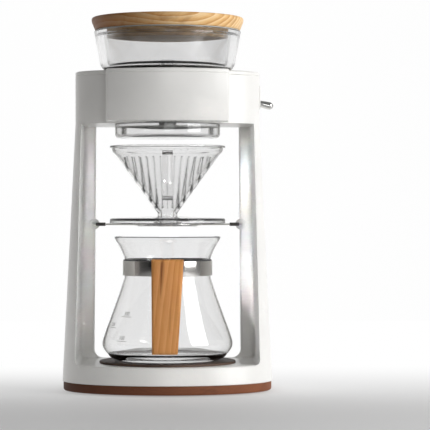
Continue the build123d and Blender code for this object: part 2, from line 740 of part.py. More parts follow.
def make_handle_wood():
    """Tapered wooden grip with eased edges."""
    top_half = 15.7
    low_half = 12.5
    outline = Polyline((-low_half, 0, HANDLE_BOTTOM), (low_half, 0, HANDLE_BOTTOM), (top_half, 0, HANDLE_TOP),
                       (-top_half, 0, HANDLE_TOP), close=True)
    grip = extrude(Pos(0, -HANDLE_BACK, 0) * make_face(outline), HANDLE_FRONT - HANDLE_BACK, dir=(0, -1, 0))
    front_edges = grip.faces().sort_by(Axis.Y)[0].edges()
    grip = chamfer(front_edges, 1.8)
    for z in handle_screw_heights():
        grip -= rod((0, -HANDLE_BACK + 1, z), (0, -HANDLE_BACK - 8.0, z), 1.5)
    return grip


def handle_screw_heights():
    """Heights of the two screws through the bracket."""
    return (BAND_BOTTOM - 15.0, BAND_TOP - 8.0)


def make_handle_screws():
    """Two screws from the bracket into the grip."""
    screws = []
    for z in handle_screw_heights():
        screws.append(rod((0, -HANDLE_BACK, z), (0, -HANDLE_BACK - 8.0, z), 1.5))
    return Compound(children=screws)


def main():
    """Write one STEP file per piece."""
    parts = {
        "plinth_ring": make_plinth_ring(),
        "bottom_cover": make_bottom_cover(),
        "rubber_feet": make_feet(),
        "base_screws": make_base_screws(),
        "base_deck": make_base_deck(),
        "coaster_disc": make_coaster(),
        "left_column": column(-1),
        "right_column": column(1),
        "left_rack_boss": rack_boss(-1),
        "right_rack_boss": rack_boss(1),
        "top_housing": make_top_housing(),
        "front_cover": make_front_cover(),
        "top_cap": make_top_cap(),
        "cap_posts": make_cap_posts(),
        "cap_screws": make_cap_screws(),
        "tank_gasket": make_tank_gasket(),
        "tank_outer": make_tank_outer(),
        "tank_inner": make_tank_inner(),
        "tank_outlet": make_tank_outlet(),
        "outlet_ring": make_outlet_ring(),
        "outlet_strainer": make_strainer(),
        "lid_top": make_lid_top(),
        "lid_plug": make_lid_plug(),
        "lid_screws": make_lid_screws(),
        "lid_seal": make_lid_seal(),
        "valve_body": make_valve_body(),
        "valve_screws": make_valve_screws(),
        "valve_gate": make_valve_gate(),
        "lever": make_lever(),
        "lever_crank": make_lever_crank(),
        "crank_pin": make_crank_pin(),
        "lever_pivot": make_lever_pivot(),
        "lever_bracket": make_lever_bracket(),
        "slot_plate": make_slot_plate(),
        "shower_cover": make_shower_cover(),
        "shower_tray": make_shower_tray(),
        "shower_seal": make_shower_seal(),
        "shower_screws": make_shower_screws(),
        "rack_ring": make_rack_ring(),
        "rack_ferrules": make_rack_ferrules(),
        "dripper_cone": make_dripper_cone(),
        "dripper_flange": make_dripper_flange(),
        "dripper_handle": make_dripper_handle(),
        "carafe_glass": make_carafe_glass(),
        "neck_band": make_neck_band(),
        "neck_liner": make_neck_liner(),
        "handle_bracket": make_handle_bracket(),
        "handle_wood": make_handle_wood(),
        "handle_screws": make_handle_screws(),
    }
    os.makedirs("parts", exist_ok=True)
    for name, shape in parts.items():
        export_step(shape, f"parts/{name}.step")


main()
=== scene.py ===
"""Looks of a gravity-fed pour-over coffee station.

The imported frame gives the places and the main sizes. Each class below is one sub-assembly of the
station: it builds its meshes in metres, where the frame puts its parts, and dresses them in a finish.
"""
from __future__ import annotations

import logging
from dataclasses import dataclass
from enum import Enum
from math import atan2, cos, pi, radians, sin, sqrt

import bmesh
import bpy
from mathutils import Matrix, Vector

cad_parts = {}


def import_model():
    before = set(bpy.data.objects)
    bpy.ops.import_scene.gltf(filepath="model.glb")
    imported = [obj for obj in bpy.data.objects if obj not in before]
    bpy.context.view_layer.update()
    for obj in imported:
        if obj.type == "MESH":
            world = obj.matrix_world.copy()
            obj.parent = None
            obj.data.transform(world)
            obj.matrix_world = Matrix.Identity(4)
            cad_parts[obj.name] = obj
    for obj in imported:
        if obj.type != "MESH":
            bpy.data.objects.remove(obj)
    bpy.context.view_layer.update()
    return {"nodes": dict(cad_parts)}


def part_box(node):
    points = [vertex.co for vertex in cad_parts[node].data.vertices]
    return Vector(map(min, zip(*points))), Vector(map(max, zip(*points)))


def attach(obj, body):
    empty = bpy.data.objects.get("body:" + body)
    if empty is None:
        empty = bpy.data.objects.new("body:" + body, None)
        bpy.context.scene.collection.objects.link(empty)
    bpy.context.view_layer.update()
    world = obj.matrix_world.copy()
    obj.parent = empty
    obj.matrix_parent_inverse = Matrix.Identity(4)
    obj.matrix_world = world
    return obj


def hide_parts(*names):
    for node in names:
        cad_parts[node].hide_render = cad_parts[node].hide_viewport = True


LOG = logging.getLogger("coffee_station")
MM = 0.001
MERGE = 1e-7                      # metres within which corners are one
ON_AXIS = 1e-6                    # millimetres within which a turned outline meets its axis
WAVE_PERIOD = pi / 10             # spacing of the rings that the wave texture draws at a scale of one
PORE_DEPTH_MM = 0.05
INK_LIFT = 0.12                   # millimetres by which fired ink stands off the glass
Tree, Node, Socket = bpy.types.NodeTree, bpy.types.Node, bpy.types.NodeSocket
Mesh, Material, Object = bpy.types.Mesh, bpy.types.Material, bpy.types.Object
Spot = tuple[float, float]
Point = tuple[float, float, float]
Profile = list[tuple[float, ...]]


class Body(Enum):
    """Bodies of the frame that pieces ride on."""

    STAND = "stand"
    TANK = "tank"
    LID = "lid"
    LEVER = "tap_lever"
    RACK = "rack"
    DRIPPER = "dripper"
    CARAFE = "carafe"


# --- materials ---

def linear(hex_colour: str) -> tuple[float, float, float, float]:
    """Turn an sRGB hex colour into linear RGBA.

    Args:
        hex_colour: six hex digits, such as "e8c998".

    Returns:
        Linear red, green, blue and an alpha of one.
    """
    channels = [int(hex_colour[index:index + 2], 16) / 255 for index in (0, 2, 4)]
    return (*[c / 12.92 if c <= 0.04045 else ((c + 0.055) / 1.055) ** 2.4 for c in channels], 1.0)


def feed(tree: Tree, node: Node, inputs: dict) -> None:
    """Set or link a node's inputs.

    Args:
        tree: tree that holds the node.
        node: the node.
        inputs: socket name or index to a value, an output socket, or a node whose first output is meant.
    """
    for name, value in inputs.items():
        source = value.outputs[0] if isinstance(value, Node) else value
        if isinstance(source, Socket):
            tree.links.new(source, node.inputs[name])
        else:
            node.inputs[name].default_value = source


def add_node(tree: Tree, kind: str, inputs: dict | None = None, **settings) -> Node:
    """Add a node with its settings and its inputs.

    Args:
        tree: node tree to add to.
        kind: node type's identifier.
        inputs: values and links, as feed takes them.
        settings: attributes of the node.

    Returns:
        The new node.
    """
    node = tree.nodes.new(kind)
    for name, value in settings.items():
        setattr(node, name, value)
    feed(tree, node, inputs or {})
    return node


def set_ramp(node: Node, stops: list[tuple[float, str]]) -> None:
    """Fill a colour ramp.

    Args:
        node: the ramp node.
        stops: positions with their hex colours, in order.
    """
    elements = node.color_ramp.elements
    while len(elements) > 1:
        elements.remove(elements[-1])
    elements[0].position = stops[0][0]
    elements[0].color = linear(stops[0][1])
    for position, colour in stops[1:]:
        elements.new(position).color = linear(colour)


@dataclass(frozen=True)
class Finish:
    """Base of every finish: a name and the material it makes."""

    name: str

    def start(self) -> tuple[Material, Tree, Node, Socket]:
        """Start a node material.

        Returns:
            The material, its tree, its shader and the place on the piece.
        """
        material = bpy.data.materials.new(self.name)
        material.use_nodes = True
        tree = material.node_tree
        place = add_node(tree, "ShaderNodeTexCoord").outputs["Object"]
        return material, tree, tree.nodes["Principled BSDF"], place

    def make(self) -> Material:
        """Build the material once and reuse it afterwards."""
        return bpy.data.materials.get(self.name) or self.build()

    def build(self) -> Material:
        """Build the material; each finish has its own."""
        raise NotImplementedError


@dataclass(frozen=True)
class MouldedPlastic(Finish):
    """Injection-moulded ABS or rubber: spark-eroded mould texture and a faint mottle in its gloss."""

    colour: str
    shade: str
    roughness: float
    grit_mm: float = 0.6          # real texture is about 0.05 mm; drawn coarser so that it shows
    relief_mm: float = 0.012
    coat: float = 0.0
    gloss_swing: float = 0.04

    def build(self) -> Material:
        """Build the moulded plastic."""
        material, tree, shader, place = self.start()
        grit = add_node(tree, "ShaderNodeTexNoise", {
            "Vector": place, "Scale": 1 / (self.grit_mm * MM), "Detail": 3.0, "Roughness": 0.6})
        cloud = add_node(tree, "ShaderNodeTexNoise", {"Vector": place, "Scale": 22.0, "Detail": 4.0})
        tone = add_node(tree, "ShaderNodeValToRGB", {"Fac": cloud})
        set_ramp(tone, [(0.35, self.shade), (0.65, self.colour)])
        gloss = add_node(tree, "ShaderNodeMapRange", {
            "Value": cloud, "From Min": 0.3, "From Max": 0.7,
            "To Min": self.roughness - self.gloss_swing, "To Max": self.roughness + self.gloss_swing})
        bump = add_node(tree, "ShaderNodeBump", {
            "Height": grit, "Strength": 0.35, "Distance": self.relief_mm * MM})
        feed(tree, shader, {"Base Color": tone, "Roughness": gloss, "Normal": bump, "IOR": 1.5,
                            "Coat Weight": self.coat})
        return material


@dataclass(frozen=True)
class ClearSolid(Finish):
    """Clear moulded plastic or blown glass: bright, with a slight waviness and faint bloom."""

    colour: str
    ior: float
    roughness: float = 0.02
    wave_mm: float = 14.0
    relief_mm: float = 0.05
    milk: float = 0.0             # share of light that the solid scatters instead of passing

    def build(self) -> Material:
        """Build the clear material."""
        material, tree, shader, place = self.start()
        wave = add_node(tree, "ShaderNodeTexNoise", {
            "Vector": place, "Scale": 1 / (self.wave_mm * MM), "Detail": 2.0, "Roughness": 0.4})
        film = add_node(tree, "ShaderNodeMapRange", {
            "Value": wave, "From Min": 0.3, "From Max": 0.75,
            "To Min": self.roughness * 0.4, "To Max": self.roughness * 1.6})
        bump = add_node(tree, "ShaderNodeBump", {
            "Height": wave, "Strength": 0.25, "Distance": self.relief_mm * MM})
        feed(tree, shader, {"Roughness": film, "Normal": bump, "Base Color": linear(self.colour),
                            "Transmission Weight": 1.0 - self.milk, "IOR": self.ior})
        return material


@dataclass(frozen=True)
class Metal(Finish):
    """Plated or brushed steel: mirror base with fine drawn lines along one axis."""

    colour: str
    roughness: float
    line_mm: float = 0.4          # brushing is about 0.02 mm; drawn coarser so that it shows
    stretch: Point = (1.0, 1.0, 30.0)
    relief_mm: float = 0.004

    def build(self) -> Material:
        """Build the metal."""
        material, tree, shader, place = self.start()
        mapped = add_node(tree, "ShaderNodeMapping", {"Vector": place, "Scale": self.stretch})
        line = add_node(tree, "ShaderNodeTexNoise", {
            "Vector": mapped, "Scale": 1 / (self.line_mm * MM * max(self.stretch)), "Detail": 3.0})
        smear = add_node(tree, "ShaderNodeTexNoise", {"Vector": place, "Scale": 60.0, "Detail": 3.0})
        blend = add_node(tree, "ShaderNodeMath", {0: line, 1: smear}, operation="MULTIPLY")
        gloss = add_node(tree, "ShaderNodeMapRange", {
            "Value": blend, "From Min": 0.1, "From Max": 0.45,
            "To Min": self.roughness * 0.6, "To Max": self.roughness * 1.5})
        bump = add_node(tree, "ShaderNodeBump", {
            "Height": line, "Strength": 0.3, "Distance": self.relief_mm * MM})
        feed(tree, shader, {"Roughness": gloss, "Normal": bump, "Base Color": linear(self.colour),
                            "Metallic": 1.0})
        return material


class Grain(Enum):
    """Direction in which a board's grain runs, as the stretch of its growth rings."""

    ALONG_X = (0.09, 1.0, 1.0)
    ALONG_Z = (1.0, 1.0, 0.07)


@dataclass(frozen=True)
class OiledWood(Finish):
    """Planed and oiled wood: growth rings cut by the board's face, pores, darker streaks and, where asked for,
    painted shade on its left side.
    """

    stops: tuple[tuple[float, str], ...]
    grain: Grain
    ring_mm: float
    turn: Point = (0.0, 0.0, 0.0)
    centre: Point = (0.0, 0.0, 0.0)
    roughness: float = 0.48
    wander: float = 3.0
    streak: str = "7c4a22"
    streak_share: float = 0.35
    ring_share: float = 0.25
    cloud_share: float = 0.5
    fibre_share: float = 0.35
    # Painted shade: colour, strength and span in x of the darkening painted on the board's left side.
    painted_shade: str = "8a5a2c"
    painted_shade_share: float = 0.0
    painted_shade_span: tuple[float, float] = (-0.07, 0.03)

    def build(self) -> Material:
        """Build the wood."""
        material, tree, shader, place = self.start()
        mapped = add_node(tree, "ShaderNodeMapping", {
            "Vector": place, "Location": self.centre, "Rotation": self.turn}, vector_type="TEXTURE")
        board = add_node(tree, "ShaderNodeVectorMath", {0: mapped, 1: self.grain.value}, operation="MULTIPLY")
        drift = add_node(tree, "ShaderNodeTexNoise", {
            "Vector": board, "Scale": 26.0, "Detail": 2.0, "Roughness": 0.5})
        offset = add_node(tree, "ShaderNodeVectorMath", {
            0: drift.outputs["Color"], 1: (self.wander * MM,) * 3}, operation="MULTIPLY")
        bent = add_node(tree, "ShaderNodeVectorMath", {0: board, 1: offset}, operation="ADD")
        rings = add_node(tree, "ShaderNodeTexWave", {
            "Vector": bent, "Scale": WAVE_PERIOD / (self.ring_mm * MM), "Distortion": 1.2, "Detail": 2.0,
            "Detail Scale": 1.5}, wave_type="RINGS", wave_profile="SAW",
            rings_direction="X" if self.grain is Grain.ALONG_X else "Z")
        fibre = add_node(tree, "ShaderNodeTexNoise", {
            "Vector": board, "Scale": 900.0, "Detail": 4.0, "Roughness": 0.65})
        cloud = add_node(tree, "ShaderNodeTexNoise", {"Vector": board, "Scale": 45.0, "Detail": 3.0})
        total: Node | float = 0.0
        for part, share in ((rings.outputs["Fac"], self.ring_share), (cloud, self.cloud_share),
                            (fibre, self.fibre_share)):
            total = add_node(tree, "ShaderNodeMath", {0: part, 1: share, 2: total}, operation="MULTIPLY_ADD")
        tone = add_node(tree, "ShaderNodeValToRGB", {"Fac": total})
        set_ramp(tone, list(self.stops))
        # Painted shade: the tone darkens towards low x, the side away from the light at the right.
        axes = add_node(tree, "ShaderNodeSeparateXYZ", {"Vector": place})
        shade_amount = add_node(tree, "ShaderNodeMapRange", {
            "Value": axes.outputs["X"], "From Min": self.painted_shade_span[0], "From Max": self.painted_shade_span[1],
            "To Min": self.painted_shade_share, "To Max": 0.0})
        shaded_tone = add_node(tree, "ShaderNodeMix", {
            0: shade_amount, 6: tone, 7: linear(self.painted_shade)}, data_type="RGBA").outputs[2]
        vein = add_node(tree, "ShaderNodeTexNoise", {"Vector": board, "Scale": 130.0, "Detail": 2.0})
        mask = add_node(tree, "ShaderNodeMapRange", {
            "Value": vein, "From Min": 0.58, "From Max": 0.72, "To Max": self.streak_share})
        streaked = add_node(tree, "ShaderNodeMix", {
            0: mask, 6: shaded_tone, 7: linear(self.streak)}, data_type="RGBA").outputs[2]
        bump = add_node(tree, "ShaderNodeBump", {"Height": fibre, "Strength": 0.4, "Distance": PORE_DEPTH_MM * MM})
        gloss = add_node(tree, "ShaderNodeMapRange", {
            "Value": total, "To Min": self.roughness + 0.1, "To Max": self.roughness - 0.08})
        feed(tree, shader, {"Specular IOR Level": 0.25, "Base Color": streaked, "Roughness": gloss,
                            "Normal": bump})
        return material


# Moulded ABS with a thin clear coat: satin white with soft highlights.
WHITE_ABS = MouldedPlastic("satin_white_abs", colour="eeedea", shade="e9e8e5", roughness=0.36, coat=0.15)
# Glass-filled nylon, moulded: dull dark grey.
GREY_NYLON = MouldedPlastic("dark_glass_filled_nylon", colour="3c3c3e", shade="343436", roughness=0.55)
# Cork rubber, pressed: dark brown with a coarse dry surface.
COASTER_RUBBER = MouldedPlastic("brown_cork_rubber", colour="5a4438", shade="3f2e26", roughness=0.6, grit_mm=0.9,
                                relief_mm=0.08)
# Black rubber, moulded: hardly any shine.
FOOT_RUBBER = MouldedPlastic("black_foot_rubber", colour="1c1c1c", shade="151515", roughness=0.75)
# Silicone rubber, moulded: milky and soft.
SILICONE = MouldedPlastic("milky_silicone", colour="d9d9d4", shade="cfcfca", roughness=0.5)
# Enamel ink fired on the glass: flat grey.
INK = MouldedPlastic("fired_grey_ink", colour="8d8c89", shade="84837f", roughness=0.6)
# Copolyester, moulded: clear, a little less sharp than glass.
TANK_CLEAR = ClearSolid("clear_copolyester", colour="f9f9f9", ior=1.49, roughness=0.03)
# SAN plastic, moulded: clear with a breath of haze.
DRIPPER_CLEAR = ClearSolid("clear_san_dripper", colour="fafafa", ior=1.45, roughness=0.04, milk=0.04)
# Borosilicate glass, blown: clear with sharp highlights.
CARAFE_CLEAR = ClearSolid("borosilicate_glass", colour="f8f8f8", ior=1.47, roughness=0.012)
# Chrome on brass, plated: a mirror with a faint smear.
CHROME = Metal("chrome_plate", colour="d9d8d6", roughness=0.07, stretch=(1.0, 1.0, 1.0), line_mm=3.0)
# Stainless steel, polished: a mirror drawn out by fine lines.
BAND_STEEL = Metal("polished_band_steel", colour="cfcdca", roughness=0.13)
# Black nickel, plated: a dark mirror.
FERRULE_STEEL = Metal("black_nickel_ferrule", colour="5c5a58", roughness=0.18)
# Zinc on steel, plated: dull grey.
SCREW_STEEL = Metal("zinc_screw_steel", colour="8f8e8c", roughness=0.3)
# Rubberwood, planed and oiled: pale, with wide growth rings, and painted shade darkening its left side.
LID_WOOD = OiledWood("oiled_pale_rubberwood", grain=Grain.ALONG_X, ring_mm=5.0, roughness=0.5,
                     turn=(radians(14), radians(-24), radians(28)), centre=(0.03, 0.012, 0.33), wander=8.0,
                     stops=((0.2, "a56c34"), (0.42, "cf9858"), (0.6, "e6ba7e"), (0.85, "f6d8a8")),
                     streak="8d5724", streak_share=0.4, painted_shade="7a431a", painted_shade_share=0.9, ring_share=0.4)
# The same board inside the tank, with painted light: a paler copy that makes up for the shade it sits in.
PLUG_WOOD_PAINTED_LIGHT = OiledWood("plug_wood_painted_lighter", grain=Grain.ALONG_X, ring_mm=5.0, roughness=0.55,
                      turn=(radians(14), radians(-24), radians(28)), centre=(0.03, 0.012, 0.33),
                      stops=((0.2, "b97f48"), (0.42, "dba86c"), (0.6, "ecc48c"), (0.85, "f8deb0")),
                      streak="9a642f", streak_share=0.3)
# Teak, planed and oiled: warm brown with dark streaks along it.
GRIP_WOOD = OiledWood("oiled_teak_grip", grain=Grain.ALONG_Z, ring_mm=2.6, roughness=0.5,
                      turn=(radians(1.5), radians(3.0), 0.0), centre=(-0.03, -0.02, 0.0), wander=7.0,
                      stops=((0.2, "8a5020"), (0.42, "b4763a"), (0.6, "c2864a"), (0.85, "d29c60")),
                      streak="6a3613", streak_share=0.85)
# Walnut, planed: dark red-brown with narrow rings, and painted shade darkening its left side.
PLINTH_WOOD = OiledWood("walnut_plinth", grain=Grain.ALONG_X, ring_mm=1.8, ring_share=0.08, roughness=0.6,
                        turn=(radians(3), radians(1), radians(1)), centre=(0.0, 0.2, -0.16), wander=3.0,
                        stops=((0.2, "6e3f26"), (0.42, "7e4c32"), (0.6, "8c5638"), (0.85, "9c6644")),
                        streak="52301e", streak_share=0.35, painted_shade="3a1e12", painted_shade_share=0.8,
                        painted_shade_span=(-0.1, 0.06))


# --- mesh helpers ---

def finish_piece(name: str, mesh: Mesh, body: Body, finish: Finish, replaces: tuple[str, ...] = (),
                 crease: float = 35.0) -> None:
    """Link a mesh as a finished piece that rides on a body.

    Args:
        name: piece name.
        mesh: its mesh, in place.
        body: body it rides on.
        finish: finish to dress it in.
        replaces: CAD nodes that it stands for.
        crease: angle in degrees past which an edge is sharp.
    """
    for polygon in mesh.polygons:
        polygon.use_smooth = True
    mesh.set_sharp_from_angle(angle=radians(crease))
    piece = bpy.data.objects.new(name, mesh)
    bpy.context.scene.collection.objects.link(piece)
    mesh.materials.clear()
    mesh.materials.append(finish.make())
    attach(piece, body.value)
    if replaces:
        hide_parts(*replaces)
    LOG.info("%s: %d faces on %s", name, len(mesh.polygons), body.value)


def box_mm(node: str) -> tuple[Vector, Vector]:
    """Low and high corners of a CAD node's box, in millimetres."""
    low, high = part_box(node)
    return low / MM, high / MM


def mesh_from(name: str, verts: list[Point], faces: list[list[int]]) -> Mesh:
    """Make a merged mesh with outward faces.

    Args:
        name: mesh name.
        verts: corner places.
        faces: corner indices of each face.

    Returns:
        The mesh.
    """
    mesh = bpy.data.meshes.new(name)
    mesh.from_pydata(verts, [], faces)
    work = bmesh.new()
    work.from_mesh(mesh)
    bmesh.ops.remove_doubles(work, verts=work.verts, dist=MERGE)
    bmesh.ops.dissolve_degenerate(work, edges=work.edges, dist=MERGE)
    bmesh.ops.recalc_face_normals(work, faces=work.faces)
    work.to_mesh(mesh)
    work.free()
    return mesh


def bend(before: Vector, here: Vector, after: Vector, reach: float, steps: int) -> list[Vector]:
    """Points of a smooth bend round a corner.

    Args:
        before: the corner before.
        here: the corner.
        after: the corner after.
        reach: where the bend starts and ends, from the corner.
        steps: stretches along the bend.

    Returns:
        The points.
    """
    start, end = (here + (side - here).normalized() * reach for side in (before, after))
    shares = [step / steps for step in range(steps + 1)]
    return [start * (1 - t) ** 2 + here * 2 * t * (1 - t) + end * t ** 2 for t in shares]


def eased(points: Profile, steps: int = 6) -> list[Spot]:
    """Round a closed outline's corners.

    Args:
        points: corners as (a, b) or (a, b, radius).
        steps: stretches along each rounded corner.

    Returns:
        The outline's points.
    """
    result = []
    for index, corner in enumerate(points):
        here = Vector(corner[:2])
        if len(corner) < 3 or corner[2] <= 0:
            result.append(tuple(here))
            continue
        before, after = Vector(points[index - 1][:2]), Vector(points[(index + 1) % len(points)][:2])
        reach = min(corner[2], (before - here).length * 0.5, (after - here).length * 0.5)
        result += [tuple(spot) for spot in bend(before, here, after, reach, steps)]
    return result


def arc(centre: Spot, reach: Spot, first: float, last: float, steps: int) -> list[Spot]:
    """Points along a round or elliptical arc.

    Args:
        centre: its centre.
        reach: half axes; a negative one mirrors the arc.
        first: first angle in radians.
        last: last angle in radians.
        steps: stretches along the arc.

    Returns:
        The points, both ends included.
    """
    angles = [first + (last - first) * step / steps for step in range(steps + 1)]
    return [(centre[0] + reach[0] * cos(angle), centre[1] + reach[1] * sin(angle)) for angle in angles]


def quarter_round(steps: int) -> list[Spot]:
    """Distances of a rounded edge of radius one from its side and from its top, from the top's end."""
    return [(1 - sin(pi / 2 * step / steps), 1 - cos(pi / 2 * step / steps)) for step in range(steps + 1)]


def lathe(name: str, points: Profile, sides: int = 128, steps: int = 6) -> Mesh:
    """Turn a closed outline about the upright axis.

    Args:
        name: mesh name.
        points: outline corners as (radius, height) or (radius, height, easing), in millimetres.
        sides: segments round the axis.
        steps: stretches along each eased corner.

    Returns:
        The mesh, in metres.
    """
    verts, faces, rings = [], [], []
    for radius, height in eased(points, steps):
        if radius < ON_AXIS:
            rings.append([len(verts)] * sides)
            verts.append((0.0, 0.0, height * MM))
            continue
        rings.append(list(range(len(verts), len(verts) + sides)))
        angles = [2 * pi * side / sides for side in range(sides)]
        verts += [(radius * cos(angle) * MM, radius * sin(angle) * MM, height * MM) for angle in angles]
    for index, ring in enumerate(rings):
        following = rings[(index + 1) % len(rings)]
        for side in range(sides):
            after = (side + 1) % sides
            corners = list(dict.fromkeys([ring[side], ring[after], following[after], following[side]]))
            if len(corners) > 2:
                faces.append(corners)
    return mesh_from(name, verts, faces)


def turned_piece(name: str, points: Profile, body: Body, finish: Finish, replaces: str, sides: int = 128,
                 steps: int = 6, crease: float = 35.0) -> None:
    """Turn an outline and finish it as a piece.

    Args:
        name: piece name.
        points: outline, as lathe takes it.
        body: body it rides on.
        finish: finish to dress it in.
        replaces: CAD node that it stands for.
        sides: segments round the axis.
        steps: stretches along each eased corner.
        crease: angle in degrees past which an edge is sharp.
    """
    finish_piece(name, lathe(name, points, sides, steps), body, finish, (replaces,), crease)


def skin(name: str, loops: list[list[Point]], ring: bool = False) -> Mesh:
    """Skin closed loops of equal length, in millimetres.

    Args:
        name: mesh name.
        loops: closed loops in order.
        ring: join the last loop to the first, instead of closing both with a face.

    Returns:
        The mesh, in metres.
    """
    count = len(loops[0])
    verts = [(x * MM, y * MM, z * MM) for loop in loops for x, y, z in loop]
    faces = []
    rows = len(loops) if ring else len(loops) - 1
    for row in range(rows):
        low, high = row * count, ((row + 1) % len(loops)) * count
        for index in range(count):
            after = (index + 1) % count
            faces.append([low + index, low + after, high + after, high + index])
    if not ring:
        faces.append(list(range(count)))
        faces.append([(len(loops) - 1) * count + index for index in range(count)])
    return mesh_from(name, verts, faces)


def joined(name: str, meshes: list[Mesh]) -> Mesh:
    """Join meshes into one.

    Args:
        name: name of the result.
        meshes: meshes to join, which are removed.

    Returns:
        The joined mesh.
    """
    work = bmesh.new()
    for mesh in meshes:
        work.from_mesh(mesh)
    result = bpy.data.meshes.new(name)
    work.to_mesh(result)
    work.free()
    for mesh in meshes:
        bpy.data.meshes.remove(mesh)
    return result


def tube_along(name: str, points: list[Point], radius: float, bend_mm: float = 4.0, closed: bool = False,
               sides: int = 16) -> Mesh:
    """Round wire along straight runs with eased bends.

    Args:
        name: mesh name.
        points: corners in millimetres.
        radius: wire radius in millimetres.
        bend_mm: easing at the corners.
        closed: join the end to the start.
        sides: segments round the wire.

    Returns:
        The mesh, in metres.
    """
    route = []
    for index, corner in enumerate(points):
        here = Vector(corner)
        if bend_mm <= 0 or (not closed and index in (0, len(points) - 1)):
            route.append(here)
            continue
        before, after = Vector(points[index - 1]), Vector(points[(index + 1) % len(points)])
        reach = min(bend_mm, (before - here).length * 0.45, (after - here).length * 0.45)
        route += bend(before, here, after, reach, 8)
    loops, circle = [], arc((0, 0), (radius, radius), 0, 2 * pi, sides)[:-1]
    for index, spot in enumerate(route):
        before = route[index - 1] if index or closed else spot
        after = route[(index + 1) % len(route)] if index < len(route) - 1 or closed else spot
        forward = (after - before).normalized()
        side = forward.cross(Vector((0, 0, 1))).normalized()
        top = side.cross(forward).normalized()
        loops.append([tuple(spot + side * x + top * y) for x, y in circle])
    return skin(name, loops, ring=closed)


def placed(mesh: Mesh, matrix: Matrix) -> Mesh:
    """Move a mesh by a matrix and return it."""
    mesh.transform(matrix)
    return mesh


def aim(start: Point, end: Point) -> Matrix:
    """Find the matrix that stands something made upright at the origin on a line.

    Args:
        start: where it stands, in millimetres.
        end: where its top points.

    Returns:
        The matrix, in metres.
    """
    line = Vector(end) - Vector(start)
    turn = line.to_track_quat("Z", "Y").to_matrix().to_4x4()
    return Matrix.Translation(Vector(start) * MM) @ turn


# --- geometry nodes ---

class Pattern:
    """A geometry node tree with named inputs, run once into a plain mesh."""

    def __init__(self, name: str) -> None:
        """Start the tree.

        Args:
            name: tree name.
        """
        self.tree = bpy.data.node_groups.new(name, "GeometryNodeTree")
        for way in ("INPUT", "OUTPUT"):
            self.tree.interface.new_socket("Geometry", in_out=way, socket_type="NodeSocketGeometry")
        self.source = self.tree.nodes.new("NodeGroupInput")
        self.sink = self.tree.nodes.new("NodeGroupOutput")
        self.values: dict[str, object] = {}

    def input(self, name: str, kind: str, value: object) -> Socket:
        """Add a named input with its value.

        Args:
            name: what the input is.
            kind: socket type.
            value: value that the modifier sets.

        Returns:
            The socket to link from.
        """
        item = self.tree.interface.new_socket(name, in_out="INPUT", socket_type=kind)
        self.values[item.identifier] = value
        return self.source.outputs[name]

    def node(self, kind: str, inputs: dict | None = None, **settings) -> Node:
        """Add a node to the tree."""
        return add_node(self.tree, kind, inputs, **settings)

    def run(self, last: Node, finish: Finish, base: Mesh) -> Mesh:
        """Realise the tree into a mesh.

        Args:
            last: node that gives the tree's geometry.
            finish: finish that Set Material gives it.
            base: mesh that the modifier starts from.

        Returns:
            The plain mesh.
        """
        real = self.node("GeometryNodeRealizeInstances", {"Geometry": last})
        dressed = self.node("GeometryNodeSetMaterial", {"Geometry": real, "Material": finish.make()})
        feed(self.tree, self.sink, {"Geometry": dressed})
        carrier = bpy.data.objects.new("carrier", base)
        bpy.context.scene.collection.objects.link(carrier)
        modifier = carrier.modifiers.new("pattern", "NODES")
        modifier.node_group = self.tree
        for identifier, value in self.values.items():
            modifier[identifier] = value
        result = bpy.data.meshes.new_from_object(carrier.evaluated_get(bpy.context.evaluated_depsgraph_get()))
        carrier.modifiers.remove(modifier)
        bpy.data.objects.remove(carrier)
        return result


def spread_on_points(name: str, shape: Mesh, places: list[Point], finish: Finish) -> Mesh:
    """Repeat a small shape at places with geometry nodes.

    Args:
        name: pattern name.
        shape: the shape, at the origin, in metres.
        places: where the copies go, in millimetres.
        finish: their finish.

    Returns:
        One mesh of all the copies.
    """
    pattern = Pattern(name)
    item = bpy.data.objects.new(name + "_shape", shape)
    info = pattern.node("GeometryNodeObjectInfo", {
        "Object": pattern.input("Repeated shape", "NodeSocketObject", item)})
    copies = pattern.node("GeometryNodeInstanceOnPoints", {
        "Points": pattern.source.outputs["Geometry"], "Instance": info.outputs["Geometry"]})
    spots = bpy.data.meshes.new(name + "_places")
    spots.from_pydata([(x * MM, y * MM, z * MM) for x, y, z in places], [], [])
    result = pattern.run(copies, finish, spots)
    bpy.data.objects.remove(item)
    return result


def cut_out(solid: Mesh, cutter: Mesh, finish: Finish) -> Mesh:
    """Cut one mesh out of another with geometry nodes.

    Args:
        solid: mesh to keep.
        cutter: mesh to take away.
        finish: finish of the result.

    Returns:
        The cut mesh.
    """
    pattern = Pattern("cut_out")
    item = bpy.data.objects.new("cutter", cutter)
    info = pattern.node("GeometryNodeObjectInfo", {"Object": pattern.input("Cutter", "NodeSocketObject", item)})
    cut = pattern.node("GeometryNodeMeshBoolean", {
        "Mesh 1": pattern.source.outputs["Geometry"], "Mesh 2": info.outputs["Geometry"]},
        operation="DIFFERENCE", solver="EXACT")
    result = pattern.run(cut, finish, solid)
    bpy.data.objects.remove(item)
    return result


# --- stand ---

